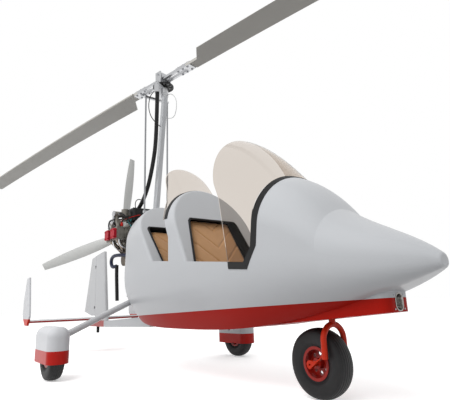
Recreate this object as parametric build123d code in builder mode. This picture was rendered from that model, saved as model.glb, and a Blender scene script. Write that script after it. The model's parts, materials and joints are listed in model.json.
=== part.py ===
"""Tandem open two-seat gyrocopter as an assembly of separate pieces.

Frame: millimetres, +X to the nose, +Y to port, +Z up, the ground at zero, the rotor mast's head above the
origin.
"""

import os
from math import atan, atan2, cos, degrees, hypot, radians, sin

from build123d import *

os.makedirs("parts", exist_ok=True)

# Solids that stand on their place, and solids that hang from it
STAND = (Align.CENTER, Align.CENTER, Align.MIN)
HANG = (Align.CENTER, Align.CENTER, Align.MAX)

# Hull and nose stations: place, floor height, floor half width, waist half width, waist height, crown height
HULL = (
    (-260.0, 446.0, 120.0, 270.0, 760.0, 1270.0),
    (60.0, 352.0, 190.0, 320.0, 770.0, 1340.0),
    (560.0, 331.0, 215.0, 335.0, 775.0, 1348.0),
    (1150.0, 338.0, 210.0, 338.0, 750.0, 1290.0),
    (1620.0, 385.0, 165.0, 318.0, 720.0, 1188.0),
    (1940.0, 447.0, 115.0, 262.0, 680.0, 930.0),
)
NOSE = (
    HULL[-1],
    (2130.0, 500.0, 82.0, 205.0, 642.0, 818.0),
    (2290.0, 553.0, 48.0, 122.0, 628.0, 732.0),
    (2400.0, 598.0, 12.0, 32.0, 622.0, 656.0),
)
arch_share = 0.95
arch_limit = 0.9
shoulder_share = 0.85
hull_wall = 10.0
NOSE_LINING = (*NOSE[:-1], (NOSE[-1][0] - hull_wall, *NOSE[-1][1:]))

# Chin keel under the nose: place, floor height, floor half width
CHIN = ((1250.0, 345.0, 196.0), (2172.0, 423.0, 90.0))
chin_top = 560.0
chin_round = 50.0
nose_round = 15.0

# Colour break and waist panel line, both straight in side view
stripe_height = 420.0
stripe_slope = 0.030
waist_height = 858.0
waist_slope = -0.106

# Mast, parallel to the hull's rear wall
mast_lean = 0.163
mast_foot_x = -300.0
mast_depth = 60.0
mast_width = 44.0
mast_wall = 4.0
mast_top = 2400.0
boom_top = 395.0
mast_corner = 12.0
MAST_LUGS = ((160.0, 50.0, 36.0, 40.0), (360.0, 0.0, 36.0, 20.0), (720.0, 0.0, 36.0, 20.0))
ENGINE_LUGS = ((1085.0, 60.0, 18.0), (1215.0, 60.0, 18.0))
rod_half = 116.0
rod_foot = 1330.0
rod_top = 2440.0
rod_top_x = -135.0
rod_bar = 22.0
rod_radius = 8.0
rear_wall_x = -205.0
rear_wall_z = 400.0

# Cockpits
front_face_foot = 925.0
front_face_lean = 0.525
front_gap_heel = 1500.0
front_gap_corner = (1560.0, 775.0)
front_gap_top = (1622.0, 1260.0)
rear_face_foot = 430.0
rear_face_lean = 0.78
rear_gap_front = 690.0
rear_lip_z = 950.0
rear_edge_foot = (625.0, 1090.0)
rear_edge_lean = 0.258
face_wall = 12.0
face_round = 20.0
sky = 1400.0
wide = 600.0
seat_gap = 0.3

# Seats: wall foot, wall lean, cushion height, cushion front, opening's height, its half width at top and foot
SEAT_ROWS = {
    "seat_front": (front_face_foot, front_face_lean, 505.0, 1420.0, 366.0, 205.0, 268.0),
    "seat_rear": (rear_face_foot, rear_face_lean, 600.0, 860.0, 378.0, 254.0, 238.0),
}
seat_clear = 9.0
seat_out = 12.0
seat_thick = 72.0
base_half = 195.0
BASE_LINK = ((800.0, 0.0), (1060.0, 0.0), (1060.0, 420.0), (800.0, 420.0))
stick_step = 110.0
panel_x = 1650.0
panel_thick = 16.0
panel_foot = 790.0
stick_x = 1475.0
stick_radius = 11.0
stick_height = 330.0
grip_radius = 19.0
grip_height = 110.0
lamp_z = 466.0
lamp_height = 74.0
lamp_width = 54.0
lamp_depth = 46.0
lamp_wall = 2.0
lamp_lip = 4.0
lamp_taper = 18.0
lamp_lip_thick = 2.0

# Windscreens: the stations are read as the hull's are
screen_thick = 4.0
FRONT_SCREEN = (
    (1680.0, 600.0, 200.0, 312.0, 715.0, 1116.0),
    (1500.0, 600.0, 200.0, 330.0, 735.0, 1318.0),
    (1320.0, 600.0, 200.0, 336.0, 745.0, 1480.0),
    (1120.0, 600.0, 200.0, 338.0, 750.0, 1585.0),
)
front_screen_heel = 1370.0
front_screen_edge = ((1150.0, 2800.0), (1195.0, 1590.0), (1262.0, 1190.0), (1305.0, 1090.0))
REAR_SCREEN = (
    (640.0, 800.0, 200.0, 335.3, 900.0, 1349.0),
    (560.0, 800.0, 200.0, 334.8, 900.0, 1351.0),
    (455.0, 800.0, 200.0, 327.0, 900.0, 1464.0),
    (295.0, 800.0, 200.0, 303.0, 900.0, 1606.0),
)
rear_screen_edge = ((295.0, 2800.0), (325.0, 1620.0), (385.0, 1500.0), (525.0, 1260.0), (600.0, 1090.0))
trim_thick = 3.0
trim_width = 40.0

# Wheels
tyre_radius = 174.0
tyre_half = 54.0
bead_radius = 77.0
bead_half = 38.0
rim_lip = 4.0
rim_lip_radius = 84.0
lip_clear = 86.0
hub_radius = 26.0
hub_half = 34.0
axle_radius = 12.0
axle_clearance = 1.0
main_axle_x = -107.0
half_track = 855.0
nose_axle_x = 1689.0
tyre_belly = 120.0
tread_half = 44.0
tread_radius = 165.0
rim_wall = 8.0
rim_web = 8.0
rim_holes = 8
rim_hole_circle = 48.0
rim_hole_radius = 11.0
bow_out, bow_low, bow_in, bow_high, bow_back = 815.0, 285.0, 170.0, 548.0, -221.0
BOW = (
    (main_axle_x, -bow_out, bow_low),
    (bow_back, -bow_in, bow_high),
    (bow_back, bow_in, bow_high),
    (main_axle_x, bow_out, bow_low),
)
bow_bend = 110.0
bow_radius = 24.0
plate_in = 61.0
plate_out = 70.0
plate_half = 30.0
plate_low = 30.0
plate_high = 150.0
spat_half = 78.0
spat_wall = 8.0
spat_front = 196.0
spat_rear = -250.0
spat_corner = 70.0
spat_round = 68.0
spat_foot = 122.0
spat_top = 372.0

# Steering
steer_x = 1786.0
stem_radius = 17.0
stem_clearance = 2.0
fork_half = 77.0
fork_tube = 15.0
fork_crown_z = 381.0
steer_boss_radius = 32.0
steer_boss_foot = 398.0
steer_boss_height = 70.0
stem_length = 96.0
leg_foot = 206.0
arm_top = 286.0
arm_foot = 224.0
arm_sag = 26.0
arm_thick = 18.0
tow_radius = 6.0
dropout_radius = 21.0

# Rotor
rotor_z = 2588.0
rotor_turn = 12.7
rotor_radius = 4100.0
blade_root = 410.0
root_sweep = 215.0
blade_thick = 26.0
droop_radius = 71400.0
rotor_tilt = 1.2
ring_top = -60.0
ring_radius = 98.0
ring_thick = 12.0
ring_holes = 10
ring_hole_circle = 68.0
ring_hole_radius = 13.0
bearing_top = -87.0
bearing_height = 76.0
bearing_radius = 45.0
head_block = 42.0
spindle_radius = 22.0
spindle_length = 98.0
tower_length = 70.0
tower_width = 134.0
tower_base = 28.0
tower_height = 132.0
cheek_thick = 12.0
teeter_z = 45.0
teeter_radius = 9.0
block_length = 60.0
block_width = 86.0
block_above = 20.0
bar_half = 350.0
bar_width = 84.0
rail_width = 24.0
window_start = 64.0
window_end = 330.0
bar_thick = 26.0
strap_start = 220.0
strap_end = blade_root - 6.0
strap_thick = 6.0
root_overlap = 190.0
blade_nose = 48.0
blade_low = 13.0
blade_edge = 2.0
blade_tail = -166.0
pinion_x = 66.0
pinion_y = -100.0
drive_radius = 28.0
drive_height = 86.0
drive_plate = 10.0
drive_shaft = 10.0
pinion_rise = 15.0
pinion_radius = 13.0
SHAFT = ((46.0, -95.0, 2000.0), (-30.0, -85.0, 1770.0), (-214.0, -70.0, 1480.0), (-420.0, -60.0, 1390.0))
shaft_bend = 90.0
shaft_radius = 16.0

# Propeller and engine
prop_x = -881.0
prop_z = 1228.0
prop_radius = 850.0
prop_turn = 5.6
prop_blades = 3
prop_hub_radius = 62.0
prop_hub_length = 62.0
engine_front = -330.0
engine_rear = -640.0
crank_z = 1150.0
case_half = 115.0
case_rise = 130.0
CYLINDER_X = (-405.0, -545.0)
barrel_radius = 58.0
barrel_length = 110.0
fin_count = 5
fin_pitch = 20.0
fin_thin = 5.0
case_round = 30.0
case_ribs = 6
rib_pitch = 44.0
rib_rise = 6.0
cover_half = 46.0
cover_corner = 18.0
cover_depth = 24.0
cover_bolt = 32.0
bolt_radius = 6.0
bolt_height = 6.0
plug_spread = 26.0
plug_radius = 9.0
plug_height = 34.0
manifold_z = 1262.0
fin_radius = 66.0
head_length = 64.0
gearbox_radius = 84.0
gearbox_ribs = 10
gearbox_length = 110.0
flange_radius = 52.0
prop_gap_x = -844.0
prop_shaft = 20.0
prop_shaft_length = 70.0

# Propeller stations: share of the blade, chord, thickness, pitch in degrees
PROP_SECTIONS = (
    (-0.03, 70.0, 44.0, 42.0),
    (0.3, 118.0, 26.0, 30.0),
    (0.7, 104.0, 15.0, 19.0),
    (1.0, 62.0, 8.0, 14.0),
)

# Induction, exhaust and cooling
AIRBOX = (-540.0, -350.0)
airbox_half = 130.0
airbox_top = 1400.0
airbox_corner = 26.0
airbox_ribs = 4
airbox_pitch = 40.0
airbox_rib_y = 104.0
airbox_rib_length = 40.0
carb_length = 90.0
carb_radius = 27.0
carb_step = 40.0
bowl_radius = 30.0
bowl_drop = 58.0
dome_radius = 34.0
dome_rise = 52.0
exhaust_x = -520.0
exhaust_z = 930.0
muffler_radius = 62.0
muffler_half = 150.0
pipe_radius = 19.0
radiator_front = -345.0
radiator_depth = 60.0
radiator_half = 160.0
radiator_rise = 190.0
radiator_z = 770.0

# Tail
fin_hinge_x = -1640.0
fin_thick = 36.0
hinge_gap = 8.0
tail_boom_top = 360.0
stab_thick = 32.0
stab_round = 15.0
stab_taper = 110.0
tail_edge = 8.0
stab_half_span = 638.0
tip_fin_thick = 24.0
tip_fin_round = 10.0
fin_round = 17.0
BOOM = (
    (-190.0, 395.0),
    (-430.0, 395.0),
    (-1200.0, 360.0),
    (-1830.0, 360.0),
    (-1830.0, 296.0),
    (-1200.0, 296.0),
    (-190.0, 316.0),
)
boom_half = 35.0
tie_x = -1800.0
tie_z = 328.0
tie_radius = 8.0
STABILIZER = ((-1700.0, 0.0), (-1880.0, stab_half_span), (-2140.0, stab_half_span), (-2080.0, 0.0))
TIP_FIN = (
    (-1880.0, 430.0),
    (-1925.0, 620.0),
    (-1995.0, 862.0),
    (-2090.0, 862.0),
    (-2186.0, 600.0),
    (-2190.0, 420.0),
    (-2070.0, 330.0),
    (-1950.0, 330.0),
)
FIN_LEAD = ((-1272.0, 360.0), (-1389.0, 1115.0))
fin_top_drop = 25.0
RUDDER = ((-1751.0, 412.0), (-2007.0, 458.0), (-1785.0, 1071.0))
rudder_nose = 16.0
rudder_foot = 412.0
rudder_top = 1088.0
HINGES = (500.0, 960.0)
hinge_lug = 16.0
hinge_pin = 5.0
hinge_pin_length = 60.0
skid_x = -1550.0
skid_radius = 16.0
skid_length = 68.0


def cross_plane(x):
    """Plane across the hull at a station, with port to the right and up upward."""
    return Plane(origin=(x, 0, 0), x_dir=(0, 1, 0), z_dir=(1, 0, 0))


def waist_at(x):
    """Height of the waist panel line at a station."""
    return waist_height + waist_slope * x


def mast_at(z):
    """Place of the mast's axis at a height."""
    return mast_foot_x + mast_lean * (z - boom_top)


def hull_section(station, inset):
    """Closed hull outline of one station, moved inward by a wall."""
    x, floor_z, floor_half, waist_half, waist_z, crown_z = station
    half, base, top = waist_half - inset, floor_z + inset, crown_z - inset
    foot = max(floor_half - inset, inset / 2)
    rise = min(arch_share * half, arch_limit * (top - waist_z))
    spring_z = top - rise
    shoulder = shoulder_share * rise
    crown = ((half - shoulder) ** 2 + rise**2 - shoulder**2) / (2 * (rise - shoulder))
    reach = crown - shoulder
    joint_y = crown * (half - shoulder) / reach
    joint_z = top - crown + crown * (spring_z - top + crown) / reach
    with BuildSketch(cross_plane(x)) as section:
        with BuildLine():
            Line((-foot, base), (foot, base))
            TangentArc((half, waist_z), (foot, base), tangent=(0, -1))
            TangentArc((-half, waist_z), (-foot, base), tangent=(0, -1))
            Line((half, waist_z), (half, spring_z))
            Line((-half, waist_z), (-half, spring_z))
            TangentArc((half, spring_z), (joint_y, joint_z), tangent=(0, 1))
            TangentArc((-half, spring_z), (-joint_y, joint_z), tangent=(0, 1))
            ThreePointArc((joint_y, joint_z), (0, top), (-joint_y, joint_z))
        make_face()
    return section.sketch


def chin_section(station, inset):
    """Chin keel outline of one station, moved inward by a wall."""
    x, floor_z, floor_half = station
    with BuildSketch(cross_plane(x)) as section:
        with Locations((0, (floor_z + inset + chin_top) / 2)):
            Rectangle(2 * (floor_half - inset), chin_top - floor_z - inset)
    return section.sketch


stripe_plane = Plane(origin=(0, 0, stripe_height), x_dir=(1, 0, stripe_slope), z_dir=(-stripe_slope, 0, 1))
rear_plane = Plane(origin=(rear_wall_x, 0, rear_wall_z), x_dir=(0, 1, 0), z_dir=(1, 0, -mast_lean))
rear_lining = rear_plane.offset(hull_wall)

with BuildPart() as hull_outer:
    for table in (HULL, NOSE):
        for station in table:
            add(hull_section(station, 0.0))
        loft()
    fillet(hull_outer.faces().sort_by(Axis.X)[-1].edges(), nose_round)
    split(bisect_by=rear_plane, keep=Keep.TOP)

with BuildPart() as chin_outer:
    for station in CHIN:
        add(chin_section(station, 0.0))
    loft()
    fillet(chin_outer.faces().sort_by(Axis.X)[-1].edges().filter_by(Axis.Z), chin_round)

with BuildPart() as hull_inner:
    for table in (HULL, NOSE_LINING):
        for station in table:
            add(hull_section(station, hull_wall))
        loft()
    split(bisect_by=rear_lining, keep=Keep.TOP)

with BuildPart() as chin_inner:
    add(chin_section(CHIN[0], hull_wall))
    add(chin_section((CHIN[1][0] - hull_wall, *CHIN[1][1:]), hull_wall))
    loft()
    fillet(chin_inner.faces().sort_by(Axis.X)[-1].edges().filter_by(Axis.Z), chin_round - hull_wall)

with BuildPart() as body_outer:
    add(hull_outer.part)
    add(chin_outer.part)

with BuildPart() as body_inner:
    add(hull_inner.part)
    add(chin_inner.part)


def gap_prism(points, half):
    """Side-view outline drawn through the hull's whole width."""
    with BuildPart() as prism:
        with BuildSketch(Plane.XZ):
            with BuildLine():
                Polyline(*points, close=True)
            make_face()
        extrude(amount=half, both=True)
    return prism.part


def face_x(foot, lean, z):
    """Place of a seat wall's face at a height."""
    return foot - lean * (z - waist_at(foot))


def rear_edge_x(z):
    """Place of the rear screen's foot line on the centre fairing at a height."""
    return rear_edge_foot[0] - rear_edge_lean * (z - rear_edge_foot[1])


rear_edge = (
    (rear_gap_front, waist_at(rear_gap_front)),
    (rear_gap_front, rear_lip_z),
    rear_edge_foot,
    (rear_edge_x(sky), sky),
)
front_gap = gap_prism(
    (
        (front_face_foot, waist_at(front_face_foot)),
        (front_gap_heel, waist_at(front_gap_heel)),
        front_gap_corner,
        front_gap_top,
        (front_gap_top[0], sky),
        (face_x(front_face_foot, front_face_lean, sky), sky),
    ),
    wide,
)
rear_gap = gap_prism(
    (
        (rear_face_foot, waist_at(rear_face_foot)),
        *rear_edge,
        (face_x(rear_face_foot, rear_face_lean, sky), sky),
    ),
    wide,
)
centre_zone = gap_prism(
    (
        (front_face_foot, waist_at(front_face_foot)),
        (face_x(front_face_foot, front_face_lean, sky), sky),
        *reversed(rear_edge),
    ),
    wide,
)
rear_zone = gap_prism(
    (
        (-wide, waist_at(-wide)),
        (rear_face_foot, waist_at(rear_face_foot)),
        (face_x(rear_face_foot, rear_face_lean, sky), sky),
        (-wide, sky),
    ),
    wide,
)


with BuildPart() as body_shell_full:
    add(body_outer.part)
    add(body_inner.part, mode=Mode.SUBTRACT)

with BuildPart() as lamp_hole:
    with BuildSketch(cross_plane(CHIN[1][0] - lamp_depth)):
        with Locations((0, lamp_z)):
            SlotOverall(lamp_height + 2 * seat_gap, lamp_width + 2 * seat_gap, rotation=90)
    extrude(amount=2 * lamp_depth)

with BuildPart() as belly_pan:
    add(body_shell_full.part)
    add(lamp_hole.part, mode=Mode.SUBTRACT)
    split(bisect_by=stripe_plane, keep=Keep.BOTTOM)
    with Locations((steer_x, 0, steer_boss_foot)):
        Cylinder(steer_boss_radius, steer_boss_height, align=STAND)
    with Locations((steer_x, 0, steer_boss_foot)):
        Cylinder(stem_radius + stem_clearance, 3 * steer_boss_height, mode=Mode.SUBTRACT)

with BuildPart() as hull_shell:
    add(body_shell_full.part)
    add(lamp_hole.part, mode=Mode.SUBTRACT)
    split(bisect_by=stripe_plane, keep=Keep.TOP)
    for piece in (front_gap, rear_gap, centre_zone, rear_zone):
        add(piece, mode=Mode.SUBTRACT)


def face_plane(foot, lean):
    """Plane of a seat wall's front face, with its origin on the waist line."""
    return Plane(origin=(foot, 0, waist_at(foot)), x_dir=(0, 1, 0), z_dir=(1, 0, lean))


def seat_gate(row, inset, low, depth):
    """Trapezium through a seat wall: the seat's opening, or what fits in it with an inset."""
    foot, lean, _, _, top, top_half, foot_half = row
    with BuildPart() as gate:
        with BuildSketch(face_plane(foot, lean)):
            with BuildLine():
                Polyline(
                    (inset - foot_half, -low),
                    (foot_half - inset, -low),
                    (foot_half - inset, 0),
                    (top_half - inset, top - inset),
                    (inset - top_half, top - inset),
                    (inset - foot_half, 0),
                    close=True,
                )
            make_face()
        extrude(amount=depth, both=True)
    return gate.part


# Fairings: arches, each with a wall at its front that is open for the seat
FAIRINGS = {}
for name, row, zone in (("centre", "seat_front", centre_zone), ("rear", "seat_rear", rear_zone)):
    foot, lean = SEAT_ROWS[row][:2]
    behind_wall = gap_prism(
        (
            (-wide, 0.0),
            (face_x(foot, lean, 0.0) - face_wall, 0.0),
            (face_x(foot, lean, sky) - face_wall, sky),
            (-wide, sky),
        ),
        wide,
    )
    gate = seat_gate(SEAT_ROWS[row], 0.0, 2 * face_wall, 2 * face_wall)
    with BuildPart() as hollow:
        add(hull_inner.part)
        add(behind_wall, mode=Mode.INTERSECT)
    with BuildPart() as fairing:
        add(hull_outer.part)
        add(zone, mode=Mode.INTERSECT)
        wall_face = fairing.faces().filter_by(Axis((foot, 0, waist_at(foot)), (1, 0, lean)))[-1]
        fillet(wall_face.edges().filter_by_position(Axis.Z, waist_at(foot) + face_round, sky), face_round)
        add(hollow.part, mode=Mode.SUBTRACT)
        add(gate, mode=Mode.SUBTRACT)
    FAIRINGS[name] = fairing

# Windscreens: bent clear sheets, each cut in side view
with BuildPart() as front_sheet:
    for station in FRONT_SCREEN:
        add(hull_section(station, 0.0))
    loft()
with BuildPart() as front_sheet_inner:
    for station in FRONT_SCREEN:
        add(hull_section(station, screen_thick))
    loft()
front_foot_line = (
    (front_screen_heel, waist_at(front_screen_heel)),
    (front_gap_heel, waist_at(front_gap_heel)),
    front_gap_corner,
    front_gap_top,
)
front_screen_zone = gap_prism((*front_foot_line, (front_gap_top[0], 2 * sky), *front_screen_edge), wide)
with BuildPart() as front_screen:
    add(front_sheet.part)
    add(front_sheet_inner.part, mode=Mode.SUBTRACT)
    add(front_screen_zone, mode=Mode.INTERSECT)
with BuildPart() as rear_sheet:
    for station in REAR_SCREEN:
        add(hull_section(station, 0.0))
    loft()
with BuildPart() as rear_sheet_inner:
    for station in REAR_SCREEN:
        add(hull_section(station, screen_thick))
    loft()
rear_screen_zone = gap_prism(
    (rear_edge_foot, (rear_edge_x(sky), sky), (rear_edge_x(sky), 2 * sky), *rear_screen_edge), wide
)
with BuildPart() as rear_screen:
    add(rear_sheet.part)
    add(rear_sheet_inner.part, mode=Mode.SUBTRACT)
    add(rear_screen_zone, mode=Mode.INTERSECT)

# Black trims over the screens' feet
with BuildPart() as trim_skin:
    for station in HULL:
        add(hull_section(station, -trim_thick))
    loft()
front_trim_zone = gap_prism(
    (
        *front_foot_line,
        (front_gap_top[0] + trim_width, front_gap_top[1]),
        (front_gap_corner[0] + trim_width, front_gap_corner[1]),
        (front_gap_heel + trim_width / 2, waist_at(front_gap_heel) - trim_width),
        (front_screen_heel, waist_at(front_screen_heel) - trim_width),
    ),
    wide,
)
rear_trim_zone = gap_prism(
    (
        rear_edge_foot,
        (rear_edge_foot[0] + trim_width, rear_edge_foot[1]),
        (rear_edge_x(sky) + trim_width, sky),
        (rear_edge_x(sky), sky),
    ),
    wide,
)
with BuildPart() as front_trim:
    add(trim_skin.part)
    add(hull_outer.part, mode=Mode.SUBTRACT)
    add(front_trim_zone, mode=Mode.INTERSECT)
with BuildPart() as rear_trim:
    add(trim_skin.part)
    add(hull_outer.part, mode=Mode.SUBTRACT)
    add(rear_trim_zone, mode=Mode.INTERSECT)

# Cabin space inside the shell, for what is fitted to it
with BuildPart() as cabin:
    for station in HULL:
        add(hull_section(station, hull_wall + seat_gap))
    loft()
    split(bisect_by=rear_plane.offset(hull_wall + seat_gap), keep=Keep.TOP)


def face_point(foot, lean, up, out):
    """Side-view point up along a seat wall's face and out from it."""
    size = hypot(1.0, lean)
    return (foot + (out - lean * up) / size, waist_at(foot) + (up + lean * out) / size)


# Seats, each a back and a cushion in one; base box below them
SEATS, base_blocks = {}, []
for name, row in SEAT_ROWS.items():
    foot, lean, pan_top, pan_front, gate_top, _, foot_half = row
    drop = (waist_at(foot) - pan_top) * hypot(1.0, lean)
    back_foot = face_point(foot, lean, -drop, seat_out)
    back_heel = face_point(foot, lean, -drop, seat_out - seat_thick)
    fit = seat_gate(row, seat_clear, wide, wide)
    with BuildPart() as seat:
        with BuildSketch(Plane.XZ):
            with BuildLine():
                Polyline(
                    face_point(foot, lean, gate_top, seat_out),
                    face_point(foot, lean, gate_top, seat_out - seat_thick),
                    back_heel,
                    (back_heel[0], pan_top - seat_thick),
                    (pan_front, pan_top - seat_thick),
                    (pan_front, pan_top),
                    (back_foot[0], pan_top),
                    close=True,
                )
            make_face()
        extrude(amount=foot_half, both=True)
        add(fit, mode=Mode.INTERSECT)
        add(cabin.part, mode=Mode.INTERSECT)
    SEATS[name] = seat
    base_blocks.append(
        gap_prism(
            (
                (back_heel[0], 0.0),
                (pan_front, 0.0),
                (pan_front, pan_top - seat_thick),
                (back_heel[0], pan_top - seat_thick),
            ),
            base_half,
        )
    )

_, _, stick_pan_top, stick_pan_front, *_ = SEAT_ROWS["seat_front"]
stick_foot = stick_pan_top - seat_thick
stick_block = gap_prism(
    (
        (stick_pan_front - stick_step, 0.0),
        (stick_pan_front + stick_step, 0.0),
        (stick_pan_front + stick_step, stick_foot),
        (stick_pan_front - stick_step, stick_foot),
    ),
    base_half / 2,
)
link_block = gap_prism(BASE_LINK, base_half)
with BuildPart() as seat_base:
    for block in (*base_blocks, link_block, stick_block):
        add(block)
    add(cabin.part, mode=Mode.INTERSECT)

panel_block = gap_prism(
    (
        (panel_x, panel_foot),
        (panel_x + panel_thick, panel_foot),
        (panel_x + panel_thick, sky),
        (panel_x, sky),
    ),
    wide,
)
with BuildPart() as instrument_panel:
    add(panel_block)
    add(cabin.part, mode=Mode.INTERSECT)

with BuildPart() as control_stick:
    with Locations((stick_x, 0, stick_foot)):
        Cylinder(stick_radius, stick_height, align=STAND)
    with Locations((stick_x, 0, stick_foot + stick_height)):
        Cylinder(grip_radius, grip_height, align=HANG)

# Landing lamp: a bowl let into the chin's front, with a lip round its mouth
with BuildPart() as landing_lamp:
    with BuildSketch(cross_plane(CHIN[1][0])):
        with Locations((0, lamp_z)):
            SlotOverall(lamp_height + 2 * lamp_lip, lamp_width + 2 * lamp_lip, rotation=90)
    extrude(amount=lamp_lip_thick)
    with BuildSketch(cross_plane(CHIN[1][0])):
        with Locations((0, lamp_z)):
            SlotOverall(lamp_height, lamp_width, rotation=90)
    extrude(amount=-lamp_depth)
    with BuildSketch(cross_plane(CHIN[1][0] + lamp_lip_thick)):
        with Locations((0, lamp_z)):
            SlotOverall(lamp_height - 2 * lamp_wall, lamp_width - 2 * lamp_wall, rotation=90)
    extrude(amount=lamp_wall - lamp_depth, taper=lamp_taper, mode=Mode.SUBTRACT)

# Keel boom, mast and rotor head
with BuildPart() as keel_boom:
    with BuildSketch(Plane.XZ):
        with BuildLine():
            Polyline(*BOOM, close=True)
        make_face()
    extrude(amount=boom_half, both=True)
    with Locations((tie_x, 0, tie_z)):
        Cylinder(tie_radius, 4 * boom_half, rotation=(90, 0, 0), mode=Mode.SUBTRACT)

mast_angle = atan(mast_lean)
mast_plane = Plane(origin=(mast_foot_x, 0, boom_top), x_dir=(1, 0, -mast_lean), z_dir=(mast_lean, 0, 1))
mast_length = (mast_top - boom_top) / cos(mast_angle)
wall_reach = (rear_wall_x + mast_lean * (boom_top - rear_wall_z) - mast_foot_x) * cos(mast_angle)
with BuildPart() as mast:
    with BuildSketch(mast_plane.offset(-mast_depth)):
        RectangleRounded(mast_depth, mast_width, mast_corner)
        RectangleRounded(
            mast_depth - 2 * mast_wall, mast_width - 2 * mast_wall, mast_corner - mast_wall, mode=Mode.SUBTRACT
        )
    extrude(amount=mast_length + 2 * mast_depth)
    split(bisect_by=Plane.XY.offset(boom_top), keep=Keep.TOP)
    split(bisect_by=Plane.XY.offset(mast_top), keep=Keep.BOTTOM)
    for up, front, half_width, half_height in MAST_LUGS:
        with Locations(mast_plane):
            with Locations((0, 0, up)):
                with Locations((mast_depth / 2, 0, 0)):
                    Box(
                        front if front else wall_reach - mast_depth / 2,
                        2 * half_width,
                        2 * half_height,
                        align=(Align.MIN, Align.CENTER, Align.CENTER),
                    )
    for height, half_width, half_height in ENGINE_LUGS:
        lug_front = mast_at(height) - mast_depth / 2 + mast_wall
        with Locations(((lug_front + engine_front) / 2, 0, height)):
            Box(lug_front - engine_front, 2 * half_width, 2 * half_height)
    with Locations(((mast_at(radiator_z) - mast_depth / 2 + mast_wall + radiator_front) / 2, 0, radiator_z)):
        Box(mast_at(radiator_z) - mast_depth / 2 + mast_wall - radiator_front, mast_width, mast_width)
    with Locations((mast_at(rod_foot), 0, rod_foot)):
        Box(rod_bar, 2 * rod_half + rod_bar, rod_bar, align=HANG)
    with BuildLine(Plane.XY):
        FilletPolyline(*BOW, radius=bow_bend)
    with BuildSketch(Plane(origin=BOW[0], z_dir=Vector(*BOW[1]) - Vector(*BOW[0]))):
        Circle(bow_radius)
    sweep(mode=Mode.SUBTRACT)

head_tilt = radians(rotor_tilt)
head_plane = Plane(
    origin=(0, 0, rotor_z), x_dir=(cos(head_tilt), 0, sin(head_tilt)), z_dir=(-sin(head_tilt), 0, cos(head_tilt))
)
span_tip = head_plane.from_local_coords(Vector(cos(radians(rotor_turn)), sin(radians(rotor_turn)), 0))
blade_plane = Plane(origin=(0, 0, rotor_z), x_dir=span_tip - head_plane.origin, z_dir=head_plane.z_dir)

with BuildPart() as rotor_head:
    with Locations(head_plane):
        with Locations((0, 0, bearing_top)):
            Cylinder(bearing_radius, bearing_height, align=HANG)
        with Locations((pinion_x / 2, pinion_y / 2, bearing_top)):
            Box(
                hypot(pinion_x, pinion_y) + 2 * drive_radius,
                2 * drive_radius,
                drive_plate,
                rotation=(0, 0, degrees(atan2(pinion_y, pinion_x))),
                align=HANG,
            )
    with Locations((mast_at(mast_top), 0, mast_top)):
        Box(mast_depth, mast_width, head_block, align=STAND)
    with Locations((mast_at(mast_top) / 2, 0, mast_top + head_block / 2)):
        Box(mast_at(mast_top), mast_width, head_block, align=STAND)
    with Locations((rod_top_x, 0, rod_top)):
        Box(rod_bar, 2 * rod_half + rod_bar, rod_bar, align=STAND)
    with Locations((rod_top_x / 2, 0, rod_top)):
        Box(abs(rod_top_x), rod_bar, rod_bar, align=STAND)
    with Locations(head_plane):
        with Locations((0, 0, bearing_top)):
            Cylinder(spindle_radius + axle_clearance, 2 * bearing_height, mode=Mode.SUBTRACT)
        with Locations((pinion_x, pinion_y, bearing_top)):
            Cylinder(drive_shaft, 2 * bearing_height, mode=Mode.SUBTRACT)

with BuildPart() as prerotator:
    with Locations(head_plane):
        with Locations((pinion_x, pinion_y, bearing_top - drive_plate)):
            Cylinder(drive_radius, drive_height, align=HANG)
        with Locations((pinion_x, pinion_y, bearing_top - drive_plate)):
            Cylinder(drive_shaft, drive_plate + pinion_rise, align=STAND)
        with Locations((pinion_x, pinion_y, bearing_top + pinion_rise)):
            Cylinder(pinion_radius, ring_thick, align=STAND)

shaft_start = head_plane.from_local_coords(Vector(pinion_x, pinion_y, bearing_top - drive_plate - drive_height))
shaft_points = ((shaft_start.X, shaft_start.Y, shaft_start.Z), *SHAFT)
with BuildPart() as flex_shaft:
    with BuildLine(Plane.XY):
        FilletPolyline(*shaft_points, radius=shaft_bend)
    with BuildSketch(Plane(origin=shaft_points[0], z_dir=Vector(*SHAFT[0]) - Vector(*shaft_points[0]))):
        Circle(shaft_radius)
    sweep()
    split(bisect_by=head_plane.offset(bearing_top - drive_plate - drive_height), keep=Keep.BOTTOM)
    split(bisect_by=Plane.XY.offset(airbox_top), keep=Keep.TOP)

RODS = {}
for name, side in (("control_rod_left", 1), ("control_rod_right", -1)):
    rod_low = Vector(mast_at(rod_foot), side * rod_half, rod_foot)
    rod_high = Vector(rod_top_x, side * rod_half, rod_top)
    rise = rod_high - rod_low
    with BuildPart() as rod:
        with BuildSketch(Plane(origin=rod_low - rise.normalized() * rod_bar, z_dir=rise)):
            Circle(rod_radius)
        extrude(amount=rise.length + 2 * rod_bar)
        split(bisect_by=Plane.XY.offset(rod_foot), keep=Keep.TOP)
        split(bisect_by=Plane.XY.offset(rod_top), keep=Keep.BOTTOM)
    RODS[name] = rod

# Rotor: spindle with the teeter tower, ring gear, hub bar and two blades
with BuildPart() as rotor_spindle:
    with Locations(blade_plane):
        with Locations((0, 0, ring_top)):
            Cylinder(spindle_radius, spindle_length, align=HANG)
        with Locations((0, 0, ring_top)):
            Box(tower_length, tower_width, tower_base, align=STAND)
        for side in (1, -1):
            with Locations((0, side * (tower_width - cheek_thick) / 2, ring_top)):
                Box(tower_length, cheek_thick, tower_height, align=STAND)
        with Locations((0, 0, teeter_z)):
            Cylinder(teeter_radius, tower_width + 2 * cheek_thick, rotation=(90, 0, 0))

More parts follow.
